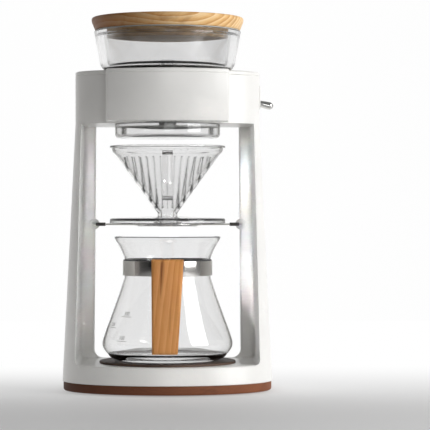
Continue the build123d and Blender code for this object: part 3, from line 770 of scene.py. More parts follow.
@dataclass
class Stand:
    """White D-shaped stand with its plinth, columns, housing, cover and cap. Millimetres."""

    rear: float = 76.0
    rear_corner: float = 16.0
    foot_half: float = 104.8
    foot_front: float = 74.0
    head_half: float = 91.9
    head_front: float = 48.0
    bay_low: float = 90.9
    bay_high: float = 85.5
    bay_rear: float = 68.0
    window_low: float = 75.5
    window_high: float = 73.6
    bay_flare: float = 4.5        # curve that carries the bay's side into the deck
    window_sill: float = 9.0      # curve at the foot of the rear window
    cover_half: float = 60.0
    cover_sag: float = 15.0
    cover_ease: float = 2.6
    wall: float = 3.0
    slot_half: float = 3.8
    slot_cut: Spot = (80.0, 100.0)        # from inside the housing's wall to outside it
    plate_half: float = 5.4

    def __post_init__(self) -> None:
        """Read the heights from the frame."""
        self.deck: tuple[Vector, Vector] = box_mm("base_deck")
        self.housing: tuple[Vector, Vector] = box_mm("top_housing")

    def shell_at(self, height: float) -> Spot:
        """Half width and front bow of the drafted shell at a height."""
        share = (height - self.deck[0].z) / (self.housing[0].z - self.deck[0].z)
        return (self.foot_half + share * (self.head_half - self.foot_half),
                self.foot_front + share * (self.head_front - self.foot_front))

    def plan(self, half: float, front: float, height: float, inset: float = 0.0) -> list[Point]:
        """Closed plan of the stand: elliptical front, straight sides and round rear corners.

        Args:
            half: half width.
            front: bow of the front.
            height: height of the loop.
            inset: how far the loop is drawn in.

        Returns:
            The loop's points.
        """
        wide, back = half - inset, self.rear - inset
        corner = max(self.rear_corner - inset, 1.0)
        straight = [(back - corner) * k / 6 for k in range(1, 6)]
        loop = arc((0, 0), (wide, front - inset), pi, 2 * pi, 96) + [(wide, y) for y in straight]
        loop += arc((wide - corner, back - corner), (corner, corner), 0, pi / 2, 10)
        loop += arc((corner - wide, back - corner), (corner, corner), pi / 2, pi, 10)
        loop += [(-wide, y) for y in reversed(straight)]
        return [(x, y, height) for x, y in loop]

    def make_plinth(self) -> None:
        """Walnut ring under the deck, its lower edge rounded, with the hollow that holds the bottom cover."""
        low, high = (corner.z for corner in box_mm("plinth_ring"))
        size = (self.foot_half - 1.0, self.foot_front - 1.0)
        width, edge = 12.0, 2.4
        loops = [self.plan(*size, high, width), self.plan(*size, low, width)]
        loops += [self.plan(*size, low + edge * rise, edge * inset) for inset, rise in quarter_round(6)]
        loops += [self.plan(*size, high - 0.3), self.plan(*size, high, 0.35)]
        mesh = skin("plinth_ring_wood", loops, ring=True)
        finish_piece("plinth_ring_wood", mesh, Body.STAND, PLINTH_WOOD, ("plinth_ring",))

    def make_deck(self) -> None:
        """White deck with a softly rounded lip over a shadow line to the plinth."""
        low, high = self.deck[0].z, self.deck[1].z
        lip, hidden = 2.2, 0.04
        size = self.shell_at(low)
        loops = [self.plan(*size, low, 14.0), self.plan(*size, low, 0.8), self.plan(*size, low + 0.5, hidden)]
        for drop, inset in quarter_round(7):
            height = high - lip * drop
            loops.append(self.plan(*self.shell_at(height), height, hidden + lip * inset))
        finish_piece("base_deck_shell", skin("base_deck_shell", loops), Body.STAND, WHITE_ABS, ("base_deck",))

    def column_loop(self, side: int, height: float) -> list[Point]:
        """Plan of one column at a height.

        Args:
            side: -1 for left, 1 for right.
            height: height of the loop.

        Returns:
            The loop's points.
        """
        low, high = self.deck[1].z, self.housing[0].z
        share = (height - low) / (high - low)
        inner = self.bay_low + share * (self.bay_high - self.bay_low)
        inner -= self.foot_curve(self.bay_flare, height - low)
        window = self.window_low + share * (self.window_high - self.window_low)
        window -= self.foot_curve(self.window_sill, height - low)
        wide, bow = self.shell_at(height)
        first = -atan2(sqrt(max(1 - (inner / wide) ** 2, 0.0)), inner / wide)
        outline: Profile = list(arc((0, 0), (wide, bow), first, 0.0, 16))
        outline[0] = (*outline[0], 1.6)
        corner = self.rear_corner
        outline += [(wide, (self.rear - corner) * k / 4) for k in range(1, 4)]
        outline += arc((wide - corner, self.rear - corner), (corner, corner), 0, pi / 2, 10)
        outline += [(window, self.rear, 3.0), (window, self.bay_rear, 3.0), (inner, self.bay_rear, 6.0),
                    (inner, 20.0)]
        return [(side * x, y, height) for x, y in eased(outline, 5)]

    @staticmethod
    def foot_curve(radius: float, rise: float) -> float:
        """How far a round foot of a wall reaches out at a rise above the deck."""
        below = min(max(radius - rise, 0.0), radius)
        return radius - sqrt(radius ** 2 - below ** 2)

    def make_columns(self) -> None:
        """Side columns that flow into the deck's lip and turn inwards round the rear window."""
        low, high, sill = self.deck[1].z, self.housing[0].z, self.window_sill
        heights = [low - 3.0] + [low + sill * (1 - cos(pi / 2 * k / 14)) for k in range(15)]
        heights += [low + sill + (high - low - sill) * k / 14 for k in range(1, 15)]
        for side, name in ((-1, "left_column"), (1, "right_column")):
            mesh = skin(name + "_shell", [self.column_loop(side, height) for height in heights])
            finish_piece(name + "_shell", mesh, Body.STAND, WHITE_ABS, (name,))

    def make_housing(self) -> None:
        """Housing shell with its floor and the lever's slot cut through the right side."""
        low, high = self.housing[0].z, self.housing[1].z
        size = (self.head_half, self.head_front)
        loops = [self.plan(*size, low), self.plan(*size, low + 1.0), self.plan(*size, high - 0.5),
                 self.plan(*size, high, 0.6), self.plan(*size, high, self.wall),
                 self.plan(*size, low + self.wall, self.wall)]
        shell = skin("top_housing_shell", loops)
        cutter = skin("slot_cutter", [self.slot_loop(self.slot_half, x) for x in self.slot_cut])
        finish_piece("top_housing_shell", cut_out(shell, cutter, WHITE_ABS), Body.STAND, WHITE_ABS,
                     ("top_housing",))

    def slot_loop(self, radius: float, x: float) -> list[Point]:
        """Upright oval round the lever's slot.

        Args:
            radius: radius of its round ends.
            x: place across the stand.

        Returns:
            The loop's points.
        """
        low, high = box_mm("slot_plate")
        middle, reach = (low.z + high.z) / 2, (high.z - low.z) / 2 - self.plate_half
        outline = arc((0, middle + reach), (radius, radius), 0, pi, 16)
        outline += arc((0, middle - reach), (-radius, -radius), 0, pi, 16)
        return [(x, y, z) for y, z in outline]

    def bow(self, inset: float) -> Profile:
        """Bowed front of the cover and the cap, from left to right.

        Args:
            inset: how far it is drawn in.

        Returns:
            The points, with both ends eased.
        """
        edge = self.cover_half - inset
        radius = (self.cover_half ** 2 + self.cover_sag ** 2) / (2 * self.cover_sag)
        across = [-edge + 2 * edge * step / 32 for step in range(33)]
        front: Profile = [(x, inset - self.foot_front + radius - sqrt(radius ** 2 - x ** 2)) for x in across]
        front[0], front[-1] = (*front[0], self.cover_ease), (*front[-1], self.cover_ease)
        return front

    def cover_loop(self, height: float, inset: float = 0.0) -> list[Point]:
        """Plan of the bow-fronted cover.

        Args:
            height: height of the loop.
            inset: how far the loop is drawn in.

        Returns:
            The loop's points.
        """
        half, shoulder, back = self.cover_half - inset, -50.0, -36.6
        outline = self.bow(inset) + [(half, shoulder), (half, back), (-half, back), (-half, shoulder)]
        return [(x, y, height) for x, y in eased(outline)]

    def make_cover(self) -> None:
        """Bow-fronted panel with eased edges, standing proud of the columns."""
        low, high = (corner.z for corner in box_mm("front_cover"))
        loops = [self.cover_loop(low, 1.2), self.cover_loop(low + 0.3, 0.4), self.cover_loop(low + 1.2),
                 self.cover_loop(high - 0.5), self.cover_loop(high, 0.6)]
        finish_piece("front_cover_panel", skin("front_cover_panel", loops), Body.STAND, WHITE_ABS, ("front_cover",))

    def cap_loop(self, height: float, inset: float = 0.0) -> list[Point]:
        """Plan of the cap, which covers both the housing and the cover.

        Args:
            height: height of the loop.
            inset: how far the loop is drawn in.

        Returns:
            The loop's points.
        """
        half, front = self.head_half - inset, self.head_front - inset
        edge = (self.cover_half - inset) / half
        first = atan2(sqrt(1 - edge ** 2), edge)
        corner, back, ease = self.rear_corner - inset, self.rear - inset, 1.2
        right: Profile = list(arc((0, 0), (half, -front), first, 0.0, 14))
        left: Profile = list(arc((0, 0), (-half, -front), 0.0, first, 14))
        right[0], left[-1] = (*right[0], ease), (*left[-1], ease)
        outline = self.bow(inset) + right
        outline += arc((half - corner, back - corner), (corner, corner), 0, pi / 2, 10)
        outline += arc((corner - half, back - corner), (corner, corner), pi / 2, pi, 10)
        return [(x, y, height) for x, y in eased(outline + left)]

    def make_cap(self) -> None:
        """Cap with a rounded rim over a fine shadow line."""
        low, high = (corner.z for corner in box_mm("top_cap"))
        rim = 1.8
        loops = [self.cap_loop(low, self.wall), self.cap_loop(low, 0.6), self.cap_loop(low + 0.5)]
        loops += [self.cap_loop(high - rim * drop, rim * inset) for drop, inset in quarter_round(6)]
        finish_piece("top_cap_plate", skin("top_cap_plate", loops), Body.STAND, WHITE_ABS, ("top_cap",))

    def make_bosses(self) -> None:
        """Bored bosses on the rear flanges that take the rack's ends."""
        for name in ("left_rack_boss", "right_rack_boss"):
            low, high = box_mm(name)
            depth, floor = high.y - low.y, high.y - low.y - 2.0
            outline = [(2.1, floor), (2.1, 0.0, 0.4), (5.5, 0.0, 1.2), (5.5, depth), (0.0, depth), (0.0, floor)]
            mesh = lathe(name + "_moulding", outline, sides=48)
            centre = ((low.x + high.x) / 2, low.y, (low.z + high.z) / 2)
            placed(mesh, aim(centre, (centre[0], centre[1] + depth, centre[2])))
            finish_piece(name + "_moulding", mesh, Body.STAND, WHITE_ABS, (name,))

    def make_coaster(self) -> None:
        """Dark pad with a raised rim."""
        low, high = box_mm("coaster_disc")
        radius, top = high.x, high.z
        turned_piece("coaster_pad", [
            (0.0, low.z), (radius, low.z, 0.3), (radius, top, 0.8), (radius - 3.5, top, 0.6),
            (radius - 5.0, top - 0.5, 0.6), (0.0, top - 0.5)], Body.STAND, COASTER_RUBBER, "coaster_disc", 160)

    def make_slot_plate(self) -> None:
        """Oval plate round the lever's slot, with an eased edge."""
        inner, outer = (corner.x for corner in box_mm("slot_plate"))
        rings = [(self.slot_half, inner), (self.slot_half, outer - 0.2), (4.0, outer), (5.0, outer),
                 (5.3, outer - 0.15), (self.plate_half, outer - 0.4), (self.plate_half, inner)]
        mesh = skin("slot_plate_oval", [self.slot_loop(radius, x) for radius, x in rings], ring=True)
        finish_piece("slot_plate_oval", mesh, Body.STAND, WHITE_ABS, ("slot_plate",))

    def make_feet(self) -> None:
        """Four rubber feet with a bored centre, repeated by a pattern."""
        shape = lathe("foot", [(4.2, 0.0, 0.3), (8.0, 0.0, 1.0), (8.0, 3.0), (4.2, 3.0)], sides=40)
        places = [(-58.0, -34.0, 0.0), (58.0, -34.0, 0.0), (-66.0, 50.0, 0.0), (66.0, 50.0, 0.0)]
        mesh = spread_on_points("rubber_feet_pads", shape, places, FOOT_RUBBER)
        finish_piece("rubber_feet_pads", mesh, Body.STAND, FOOT_RUBBER, ("rubber_feet",))

    def build(self) -> None:
        """Build the whole stand."""
        for make in (self.make_plinth, self.make_deck, self.make_columns, self.make_housing, self.make_cover,
                     self.make_cap, self.make_bosses, self.make_coaster, self.make_slot_plate, self.make_feet):
            make()


# --- tank and lid ---

@dataclass
class Tank:
    """Clear double-walled tank with its wooden lid. Millimetres."""

    base: float = 319.0
    rim: float = 358.5
    wall: float = 2.4
    radius_low: float = 67.0
    radius_high: float = 73.5
    vessel_floor: float = 326.0
    bore: float = 9.0             # radius of the spigot's hole through both floors

    def make_outer(self) -> None:
        """Flared outer wall with a rounded foot."""
        base, wall, low, high = self.base, self.wall, self.radius_low, self.radius_high
        turned_piece("tank_outer_wall", [
            (self.bore, base), (62.5, base, 3.0), (low, base + 5.0, 3.0), (high, self.rim, 0.9),
            (high - wall, self.rim, 0.7), (low - wall, base + 5.6, 3.0), (62.0, base + wall, 2.0),
            (self.bore, base + wall)], Body.TANK, TANK_CLEAR, "tank_outer", 160)

    def make_inner(self) -> None:
        """Inner vessel hung from its flange."""
        floor = self.vessel_floor
        turned_piece("tank_inner_vessel", [
            (self.bore, floor - 2.0), (57.5, floor - 2.0, 2.6), (60.2, floor + 2.0, 2.0), (63.4, 353.0, 0.8),
            (70.2, 353.0, 0.3), (70.4, 355.6, 0.8), (61.8, 355.6, 1.0), (58.2, floor + 2.2, 2.0),
            (56.8, floor, 1.0), (self.bore, floor)], Body.TANK, TANK_CLEAR, "tank_inner", 160)

    def make_outlet(self) -> None:
        """Flanged spigot with a groove for its ring."""
        bore, floor = self.bore, self.vessel_floor
        turned_piece("tank_outlet_spigot", [
            (4.0, 300.0), (bore, 300.0, 0.6), (bore, 303.0), (8.0, 303.0), (8.0, 305.4), (bore, 305.4),
            (bore, floor), (14.0, floor, 0.3), (14.0, floor + 1.6, 0.5), (4.0, floor + 1.6)],
            Body.TANK, TANK_CLEAR, "tank_outlet", 64)

    def make_lid(self) -> None:
        """Wooden lid with an undercut edge, its plug and its silicone ring."""
        low, high = box_mm("lid_top")
        radius = high.x
        turned_piece("lid_top_wood", [
            (0.0, low.z), (radius - 3.6, low.z, 1.2), (radius, high.z - 3.4, 2.4), (radius - 0.3, high.z, 2.6),
            (0.0, high.z)], Body.LID, LID_WOOD, "lid_top", 160, steps=8, crease=50.0)
        low, high = box_mm("lid_plug")
        edge = high.x
        turned_piece("lid_plug_wood", [(0.0, low.z), (edge, low.z, 1.4), (edge, high.z), (0.0, high.z)],
                     Body.LID, PLUG_WOOD_PAINTED_LIGHT, "lid_plug")
        low, high = box_mm("lid_seal")
        turned_piece("lid_seal_ring", [
            (edge, low.z), (high.x, low.z, 0.3), (high.x, high.z, 0.3), (edge, high.z)],
            Body.LID, SILICONE, "lid_seal")

    def build(self) -> None:
        """Build the tank and its lid."""
        self.make_outer()
        self.make_inner()
        self.make_outlet()
        self.make_lid()


# --- tap and shower ---

@dataclass
class Tap:
    """Chrome lever on the right side. Millimetres and degrees."""

    pivot: Point = (65.5, 0.0, 293.0)
    droop: float = 13.0

    def build(self) -> None:
        """Build the round lever that swells to a domed end."""
        mesh = lathe("lever_arm", [
            (0.0, 4.6), (2.4, 4.6), (2.4, 24.0, 1.0), (3.0, 26.6, 1.0), (3.7, 33.0, 4.0), (3.85, 38.8, 3.2),
            (1.6, 41.15, 1.6), (0.0, 41.2)], sides=48)
        droop = radians(self.droop)
        placed(mesh, aim(self.pivot, (self.pivot[0] + cos(droop), 0.0, self.pivot[2] - sin(droop))))
        finish_piece("lever_arm", mesh, Body.LEVER, CHROME, ("lever",), crease=60.0)


@dataclass
class ShowerHead:
    """Clear shower head under the housing. Millimetres."""

    low: float = 252.0
    high: float = 265.8
    radius: float = 52.6
    wall: float = 2.2
    floor: float = 2.0
    drip_rings: tuple[tuple[int, float], ...] = ((6, 9.0), (12, 18.0), (12, 27.0))

    def build(self) -> None:
        """Build the shallow tray with a rounded lower edge and rings of drip holes."""
        low, high, inner = self.low, self.high, self.radius - self.wall
        tray = lathe("shower_tray_clear", [
            (0.0, low), (self.radius, low, 4.6), (self.radius, high, 0.5), (inner, high, 0.5),
            (inner, low + self.floor, 3.0), (0.0, low + self.floor)])
        hole = lathe("drip_hole", [(0.0, -1.0), (0.9, -1.0), (0.9, 3.0), (0.0, 3.0)], sides=12)
        places = [(0.0, 0.0, low)]
        for count, reach in self.drip_rings:
            places += [(x, y, low) for x, y in arc((0, 0), (reach, reach), 0, 2 * pi, count)[:-1]]
        holes = spread_on_points("drip_holes", hole, places, DRIPPER_CLEAR)
        finish_piece("shower_tray_clear", cut_out(tray, holes, DRIPPER_CLEAR), Body.STAND, DRIPPER_CLEAR,
                     ("shower_tray",))


# --- rack and dripper ---

@dataclass
class Rack:
    """Chrome wire ring with two arms. Millimetres."""

    height: float = 165.9
    wire: float = 0.95
    ring: float = 34.0
    arm_bearing: float = 40.0     # degrees from the side, where an arm leaves the ring
    knee: float = 50.0
    tip: float = 65.8
    boss_x: float = 75.4
    ferrule_near: float = 3.0
    ferrule_far: float = 13.5
    ferrule_radius: float = 1.8

    def corners(self, side: int) -> tuple[Point, Point]:
        """Find the root and the knee of one arm.

        Args:
            side: -1 for left, 1 for right.

        Returns:
            Both places.
        """
        bearing = radians(self.arm_bearing)
        root = (side * self.ring * cos(bearing), self.ring * sin(bearing), self.height)
        return root, (side * self.boss_x, self.knee, self.height)

    def build(self) -> None:
        """Build the ring, its arms and the ferrules."""
        circle = [(x, y, self.height) for x, y in arc((0, 0), (self.ring, self.ring), 0, 2 * pi, 96)[:-1]]
        wires = [tube_along("rack_circle", circle, self.wire, 0.0, closed=True, sides=14)]
        sleeves = []
        bore, radius = self.wire + 0.01, self.ferrule_radius
        for side in (-1, 1):
            root, knee = self.corners(side)
            route = [root, knee, (knee[0], self.tip, self.height)]
            wires.append(tube_along("rack_arm", route, self.wire, sides=14))
            along = (Vector(knee) - Vector(root)).normalized()
            start, end = Vector(knee) - along * self.ferrule_near, Vector(knee) - along * self.ferrule_far
            reach = (end - start).length
            outline = [(bore, 0.0), (radius, 0.0, 0.4), (radius, reach, 0.4), (bore, reach)]
            sleeves.append(placed(lathe("ferrule", outline, sides=32), aim(tuple(start), tuple(end))))
        finish_piece("rack_wire", joined("rack_wire", wires), Body.RACK, CHROME, ("rack_ring",), crease=60.0)
        finish_piece("rack_ferrule_pair", joined("rack_ferrule_pair", sleeves), Body.RACK, FERRULE_STEEL,
                     ("rack_ferrules",))


@dataclass
class Dripper:
    """Clear ribbed cone on its dish. Millimetres."""

    cone_top: float = 235.0
    cone_bottom: float = 178.5
    radius_top: float = 51.5
    radius_bottom: float = 10.5
    stem: float = 9.8
    stem_bore: float = 5.8
    slant: float = 2.72
    rib_pitch: float = 6.9
    rib_thickness: float = 1.5
    rib_depth: float = 3.2
    rib_foot: float = 183.0
    rib_gap: float = 1.5          # from the ribs' top to the cone's
    rib_pairs: int = 6
    rib_fan: float = -5.5         # ribs draw together downwards, by this share of their place per metre
    slab_length: float = 130.0
    dish_top: float = 172.2
    collar: Spot = (28.0, 30.0)   # radii of the ring that centres the dish on the carafe
    strap: float = 4.4
    strap_ease: float = 0.7

    @property
    def slope(self) -> float:
        """Growth of the cone's radius with height."""
        return (self.radius_top - self.radius_bottom) / (self.cone_top - self.cone_bottom)

    def make_cone(self) -> None:
        """Cone with its short collar, flat rim and stem."""
        bore, stem, top = self.stem_bore, self.stem, self.radius_top
        turned_piece("dripper_cone_shell", [
            (bore, 165.2, 0.4), (stem, 165.2, 0.5), (stem, 177.5, 0.8), (self.radius_bottom, self.cone_bottom),
            (top, self.cone_top, 1.5), (55.0, 238.4, 1.5), (55.6, 242.2, 0.6), (57.7, 242.6, 0.5),
            (57.7, 244.4, 0.6), (53.4, 244.4, 1.0), (52.6, 239.6, 1.5),
            (top - self.slant, self.cone_top + 0.4, 1.5), (bore, 179.0, 1.5)],
            Body.DRIPPER, DRIPPER_CLEAR, "dripper_cone", 160)

    def make_ribs(self) -> None:
        """Straight ribs inside the cone: upright slabs kept only where they lie in a thin conical layer."""
        top, low = self.cone_top - self.rib_gap, self.rib_foot
        inner = self.radius_top - self.slant - 0.05 - self.rib_gap * self.slope
        inner_low = inner - (top - low) * self.slope
        layer = lathe("rib_layer", [
            (inner, top), (inner_low, low), (max(inner_low - self.rib_depth, 0.3), low),
            (inner - self.rib_depth, top)], sides=160)
        pattern = Pattern("dripper_ribs")
        count = pattern.input("Rib count", "NodeSocketInt", 2 * self.rib_pairs + 1)
        pitch = pattern.input("Rib pitch", "NodeSocketVector", (self.rib_pitch * MM, 0.0, 0.0))
        first = pattern.input("First rib", "NodeSocketVector", (
            -self.rib_pairs * self.rib_pitch * MM, 0.0, (low + top) / 2 * MM))
        size = pattern.input("Slab size", "NodeSocketVector", (
            self.rib_thickness * MM, self.slab_length * MM, (top - low + 4) * MM))
        fan = pattern.input("Fan per metre of drop", "NodeSocketFloat", self.rib_fan)
        line = pattern.node("GeometryNodeMeshLine", {"Count": count, "Start Location": first, "Offset": pitch})
        slab = pattern.node("GeometryNodeMeshCube", {"Size": size})
        slabs = pattern.node("GeometryNodeInstanceOnPoints", {"Points": line, "Instance": slab.outputs["Mesh"]})
        solid = pattern.node("GeometryNodeRealizeInstances", {"Geometry": slabs})
        spot = pattern.node("ShaderNodeSeparateXYZ", {"Vector": pattern.node("GeometryNodeInputPosition")})
        drop = pattern.node("ShaderNodeMath", {0: top * MM, 1: spot.outputs["Z"]}, operation="SUBTRACT")
        lean = pattern.node("ShaderNodeMath", {0: drop, 1: fan}, operation="MULTIPLY")
        shift = pattern.node("ShaderNodeMath", {0: lean, 1: spot.outputs["X"]}, operation="MULTIPLY")
        offset = pattern.node("ShaderNodeCombineXYZ", {"X": shift})
        fanned = pattern.node("GeometryNodeSetPosition", {"Geometry": solid, "Offset": offset})
        both = pattern.node("GeometryNodeMeshBoolean", operation="INTERSECT", solver="EXACT")
        for side in (pattern.source, fanned):
            feed(pattern.tree, both, {"Mesh 2": side.outputs["Geometry"]})
        mesh = pattern.run(both, DRIPPER_CLEAR, layer)
        finish_piece("dripper_inner_ribs", mesh, Body.DRIPPER, DRIPPER_CLEAR)

    def make_dish(self) -> None:
        """Shallow dish with a rounded edge and its locating collar."""
        low, high = box_mm("dripper_flange")
        base, top, edge, hole = low.z + 3.0, self.dish_top, high.x, self.stem + 0.05
        inner, outer = self.collar
        turned_piece("dripper_dish", [
            (hole, base), (inner, base), (inner, low.z, 0.4), (outer, low.z, 0.5), (outer, base), (edge, base, 0.8),
            (edge, top, 2.2), (hole, top + 2.4), (hole, top + 0.2), (edge - 3.0, top - 2.4, 1.5),
            (edge - 3.0, base + 1.8, 0.8), (hole, base + 1.8)],
            Body.DRIPPER, DRIPPER_CLEAR, "dripper_flange", 160)

    def cone_front(self, height: float) -> float:
        """Place of the cone's front surface at a height, a little inside it."""
        return 0.3 - self.radius_bottom - self.slope * (height - self.cone_bottom)

    def make_handle(self) -> None:
        """Clear strap handle with eased edges."""
        low, high = box_mm("dripper_handle")
        front, width, inner = low.y, high.x, low.y + self.strap
        foot, head = low.z + 3.5, high.z - 3.4
        outline = eased([
            (-54.9, high.z), (front, high.z, 3.0), (front, low.z, 3.0), (self.cone_front(low.z), low.z),
            (self.cone_front(foot), foot), (inner, foot, 1.5), (inner, head, 1.5), (self.cone_front(head), head)])
        middle = (front - 50.0) / 2
        edge = [(y + self.strap_ease / 2 if y < middle else y, z) for y, z in outline]
        flat = width - self.strap_ease
        loops = [[(x, y, z) for y, z in shape]
                 for x, shape in ((-width, edge), (-flat, outline), (flat, outline), (width, edge))]
        finish_piece("dripper_strap", skin("dripper_strap", loops), Body.DRIPPER, DRIPPER_CLEAR,
                     ("dripper_handle",))

    def build(self) -> None:
        """Build the dripper."""
        self.make_cone()
        self.make_ribs()
        self.make_dish()
        self.make_handle()


# --- carafe ---

@dataclass
class Carafe:
    """Blown glass carafe with a chrome neck band and a wooden grip. Millimetres."""

    wall: float = 1.8
    neck: float = 43.2
    spout_low: float = 141.0
    spout_flare: float = 0.85
    spout_side: float = 2.0
    spout_reach: float = 0.9
    spout_dip: float = 0.5
    dip_start: float = 147.0
    dip_height: float = 6.0
    inside_span: Spot = (39.0, 151.5)     # heights between which the wall is of even thickness
    grip_taper: float = 3.2
    grip_lean: float = -2.6
    figure_size: float = 5.0
    scale_marks: tuple[tuple[str, float, float], ...] = (
        ("300", 77.0, 223.5), ("200", 66.0, 205.0), ("100", 53.5, 225.0))
    outer: tuple[Spot, ...] = (
        (50.0, 30.7), (56.0, 33.1), (60.6, 38.0), (64.0, 43.0), (65.0, 47.5), (63.9, 53.0), (60.6, 63.0),
        (56.6, 74.0), (52.4, 86.0), (48.2, 98.0), (45.0, 108.0), (43.3, 114.0), (43.2, 120.0), (43.2, 131.0),
        (45.2, 137.0), (48.6, 144.5), (51.6, 149.5), (53.0, 153.0))

    def outside(self, steps: int = 5) -> list[Spot]:
        """Smooth curve through the outer profile.

        Args:
            steps: points along each stretch.

        Returns:
            The curve's points, from the foot to the lip.
        """
        result, points = [], self.outer
        for index in range(len(points) - 1):
            before = Vector(points[max(index - 1, 0)])
            start, end = Vector(points[index]), Vector(points[index + 1])
            after = Vector(points[min(index + 2, len(points) - 1)])
            for step in range(steps):
                t = step / steps
                spot = 0.5 * (2 * start + (end - before) * t + (2 * before - 5 * start + 4 * end - after) * t ** 2
                              + (3 * start - before - 3 * end + after) * t ** 3)
                result.append(tuple(spot))
        return [*result, points[-1]]

    def radius_at(self, height: float) -> float:
        """Find the outside radius of the glass.

        Args:
            height: height on the glass.

        Returns:
            The radius there.
        """
        curve = self.outside()
        for (r0, z0), (r1, z1) in zip(curve, curve[1:]):
            if z0 <= height <= z1 and z1 > z0:
                return r0 + (r1 - r0) * (height - z0) / (z1 - z0)
        return curve[-1][0]

    def make_glass(self) -> None:
        """Glass body with a thick heel, a rolled lip and a pouring spout at the back."""
        outside = self.outside()
        low, high = self.inside_span
        foot = [(0.0, 32.6), (34.0, 32.2), (43.0, 31.3), (47.0, 30.8)]
        lip = [(53.1, 153.6), (52.3, 154.0), (51.5, 153.4)]
        inside = [(radius - self.wall, height) for radius, height in reversed(outside) if low < height < high]
        heel = [(56.4, 37.8), (51.0, 36.2), (40.0, 35.6), (0.0, 35.4)]
        mesh = lathe("carafe_glass_body", foot + outside + lip + inside + heel, sides=256)
        for vertex in mesh.vertices:
            x, y, z = vertex.co / MM
            width = max(0.0, (z - self.spout_low) * self.spout_flare)
            depth = max(0.0, width - abs(x - self.spout_side))
            if y > 0:
                vertex.co.y += self.spout_reach * depth * MM
                vertex.co.z -= self.spout_dip * depth * max(0.0, (z - self.dip_start) / self.dip_height) * MM
        finish_piece("carafe_glass_body", mesh, Body.CARAFE, CARAFE_CLEAR, ("carafe_glass",), crease=24.0)

    def make_band(self) -> None:
        """Polished band with rolled edges over a dark sleeve."""
        low, high = box_mm("neck_band")
        inner, outer = self.neck + 0.9, high.x
        turned_piece("neck_band_steel", [
            (inner, low.z, 0.2), (outer, low.z, 0.5), (outer, high.z, 0.5), (inner, high.z, 0.2)],
            Body.CARAFE, BAND_STEEL, "neck_band", 160)
        low, high = box_mm("neck_liner")
        inner, outer = self.neck + 0.05, high.x - 0.05
        turned_piece("neck_liner_sleeve", [
            (inner, low.z), (outer, low.z), (outer, high.z, 0.4), (inner, high.z, 0.2)],
            Body.CARAFE, GREY_NYLON, "neck_liner")

    def grip_loop(self, y: float, inset: float) -> list[Point]:
        """Outline of the wooden slab.

        Args:
            y: place of the loop, from front to back.
            inset: how far the loop is drawn in.

        Returns:
            The loop's points.
        """
        low, high = box_mm("handle_wood")
        top, foot, lean = high.x - inset, high.x - self.grip_taper - inset, self.grip_lean
        corners = [(lean - foot, low.z + inset, 1.2), (lean + foot, low.z + inset, 1.2),
                   (top, high.z - inset, 1.2), (-top, high.z - inset, 1.2)]
        return [(x, y, z) for x, z in eased(corners, 4)]

    def make_grip(self) -> None:
        """Tapered wooden slab with chamfered edges."""
        front, back = (corner.y for corner in box_mm("handle_wood"))
        loops = [self.grip_loop(y, inset) for y, inset in (
            (back, 0.8), (back - 0.8, 0.0), (front + 1.8, 0.0), (front + 0.9, 0.5), (front + 0.25, 1.3),
            (front, 2.4))]
        finish_piece("handle_wood_grip", skin("handle_wood_grip", loops), Body.CARAFE, GRIP_WOOD,
                     ("handle_wood",), crease=30.0)

    def make_mark(self, value: str, height: float, bearing: float) -> Mesh:
        """One line of the scale with its figure, wrapped on the glass.

        Args:
            value: the figure.
            height: its height on the glass.
            bearing: its bearing round the axis, in degrees.

        Returns:
            The mesh, in metres.
        """
        curve = bpy.data.curves.new("figure", "FONT")
        curve.body = value
        curve.size = self.figure_size * MM
        curve.align_x = "CENTER"
        holder = bpy.data.objects.new("figure", curve)
        bpy.context.scene.collection.objects.link(holder)
        flat = bpy.data.meshes.new_from_object(holder.evaluated_get(bpy.context.evaluated_depsgraph_get()))
        bpy.data.objects.remove(holder)
        work = bmesh.new()
        work.from_mesh(flat)
        line = [work.verts.new((x * MM, y * MM, 0)) for x, y in ((-7, -1.6), (7, -1.6), (7, -1.2), (-7, -1.2))]
        work.faces.new(line)
        bmesh.ops.subdivide_edges(work, edges=[e for e in work.edges if e.calc_length() > 3 * MM], cuts=3)
        for vertex in work.verts:
            across, up = vertex.co.x / MM, vertex.co.y / MM
            radius = self.radius_at(height + up) + INK_LIFT
            angle = radians(bearing) + across / radius
            vertex.co = Vector((radius * cos(angle), radius * sin(angle), height + up)) * MM
        work.to_mesh(flat)
        work.free()
        return flat

    def build(self) -> None:
        """Build the carafe and its fired-on scale."""
        self.make_glass()
        self.make_band()
        self.make_grip()
        marks = joined("carafe_scale", [self.make_mark(*mark) for mark in self.scale_marks])
        finish_piece("carafe_scale", marks, Body.CARAFE, INK)


# --- carried-over nodes and studio ---

CARRIED: dict[str, Finish] = {
    "bottom_cover": GREY_NYLON, "base_screws": SCREW_STEEL, "cap_posts": WHITE_ABS, "cap_screws": SCREW_STEEL,
    "tank_gasket": SILICONE, "outlet_ring": SILICONE, "outlet_strainer": TANK_CLEAR, "lid_screws": SCREW_STEEL,
    "valve_body": WHITE_ABS, "valve_screws": SCREW_STEEL, "valve_gate": GREY_NYLON, "lever_crank": GREY_NYLON,
    "crank_pin": SCREW_STEEL, "lever_pivot": SCREW_STEEL, "lever_bracket": GREY_NYLON,
    "shower_cover": DRIPPER_CLEAR, "shower_seal": SILICONE, "shower_screws": SCREW_STEEL,
    "handle_bracket": BAND_STEEL, "handle_screws": SCREW_STEEL,
}


def dress_carried(nodes: dict[str, Object]) -> None:
    """Give each carried-over node its finish.

    Args:
        nodes: CAD nodes by name.
    """
    for name, finish in CARRIED.items():
        mesh = nodes[name].data
        mesh.materials.clear()
        mesh.materials.append(finish.make())


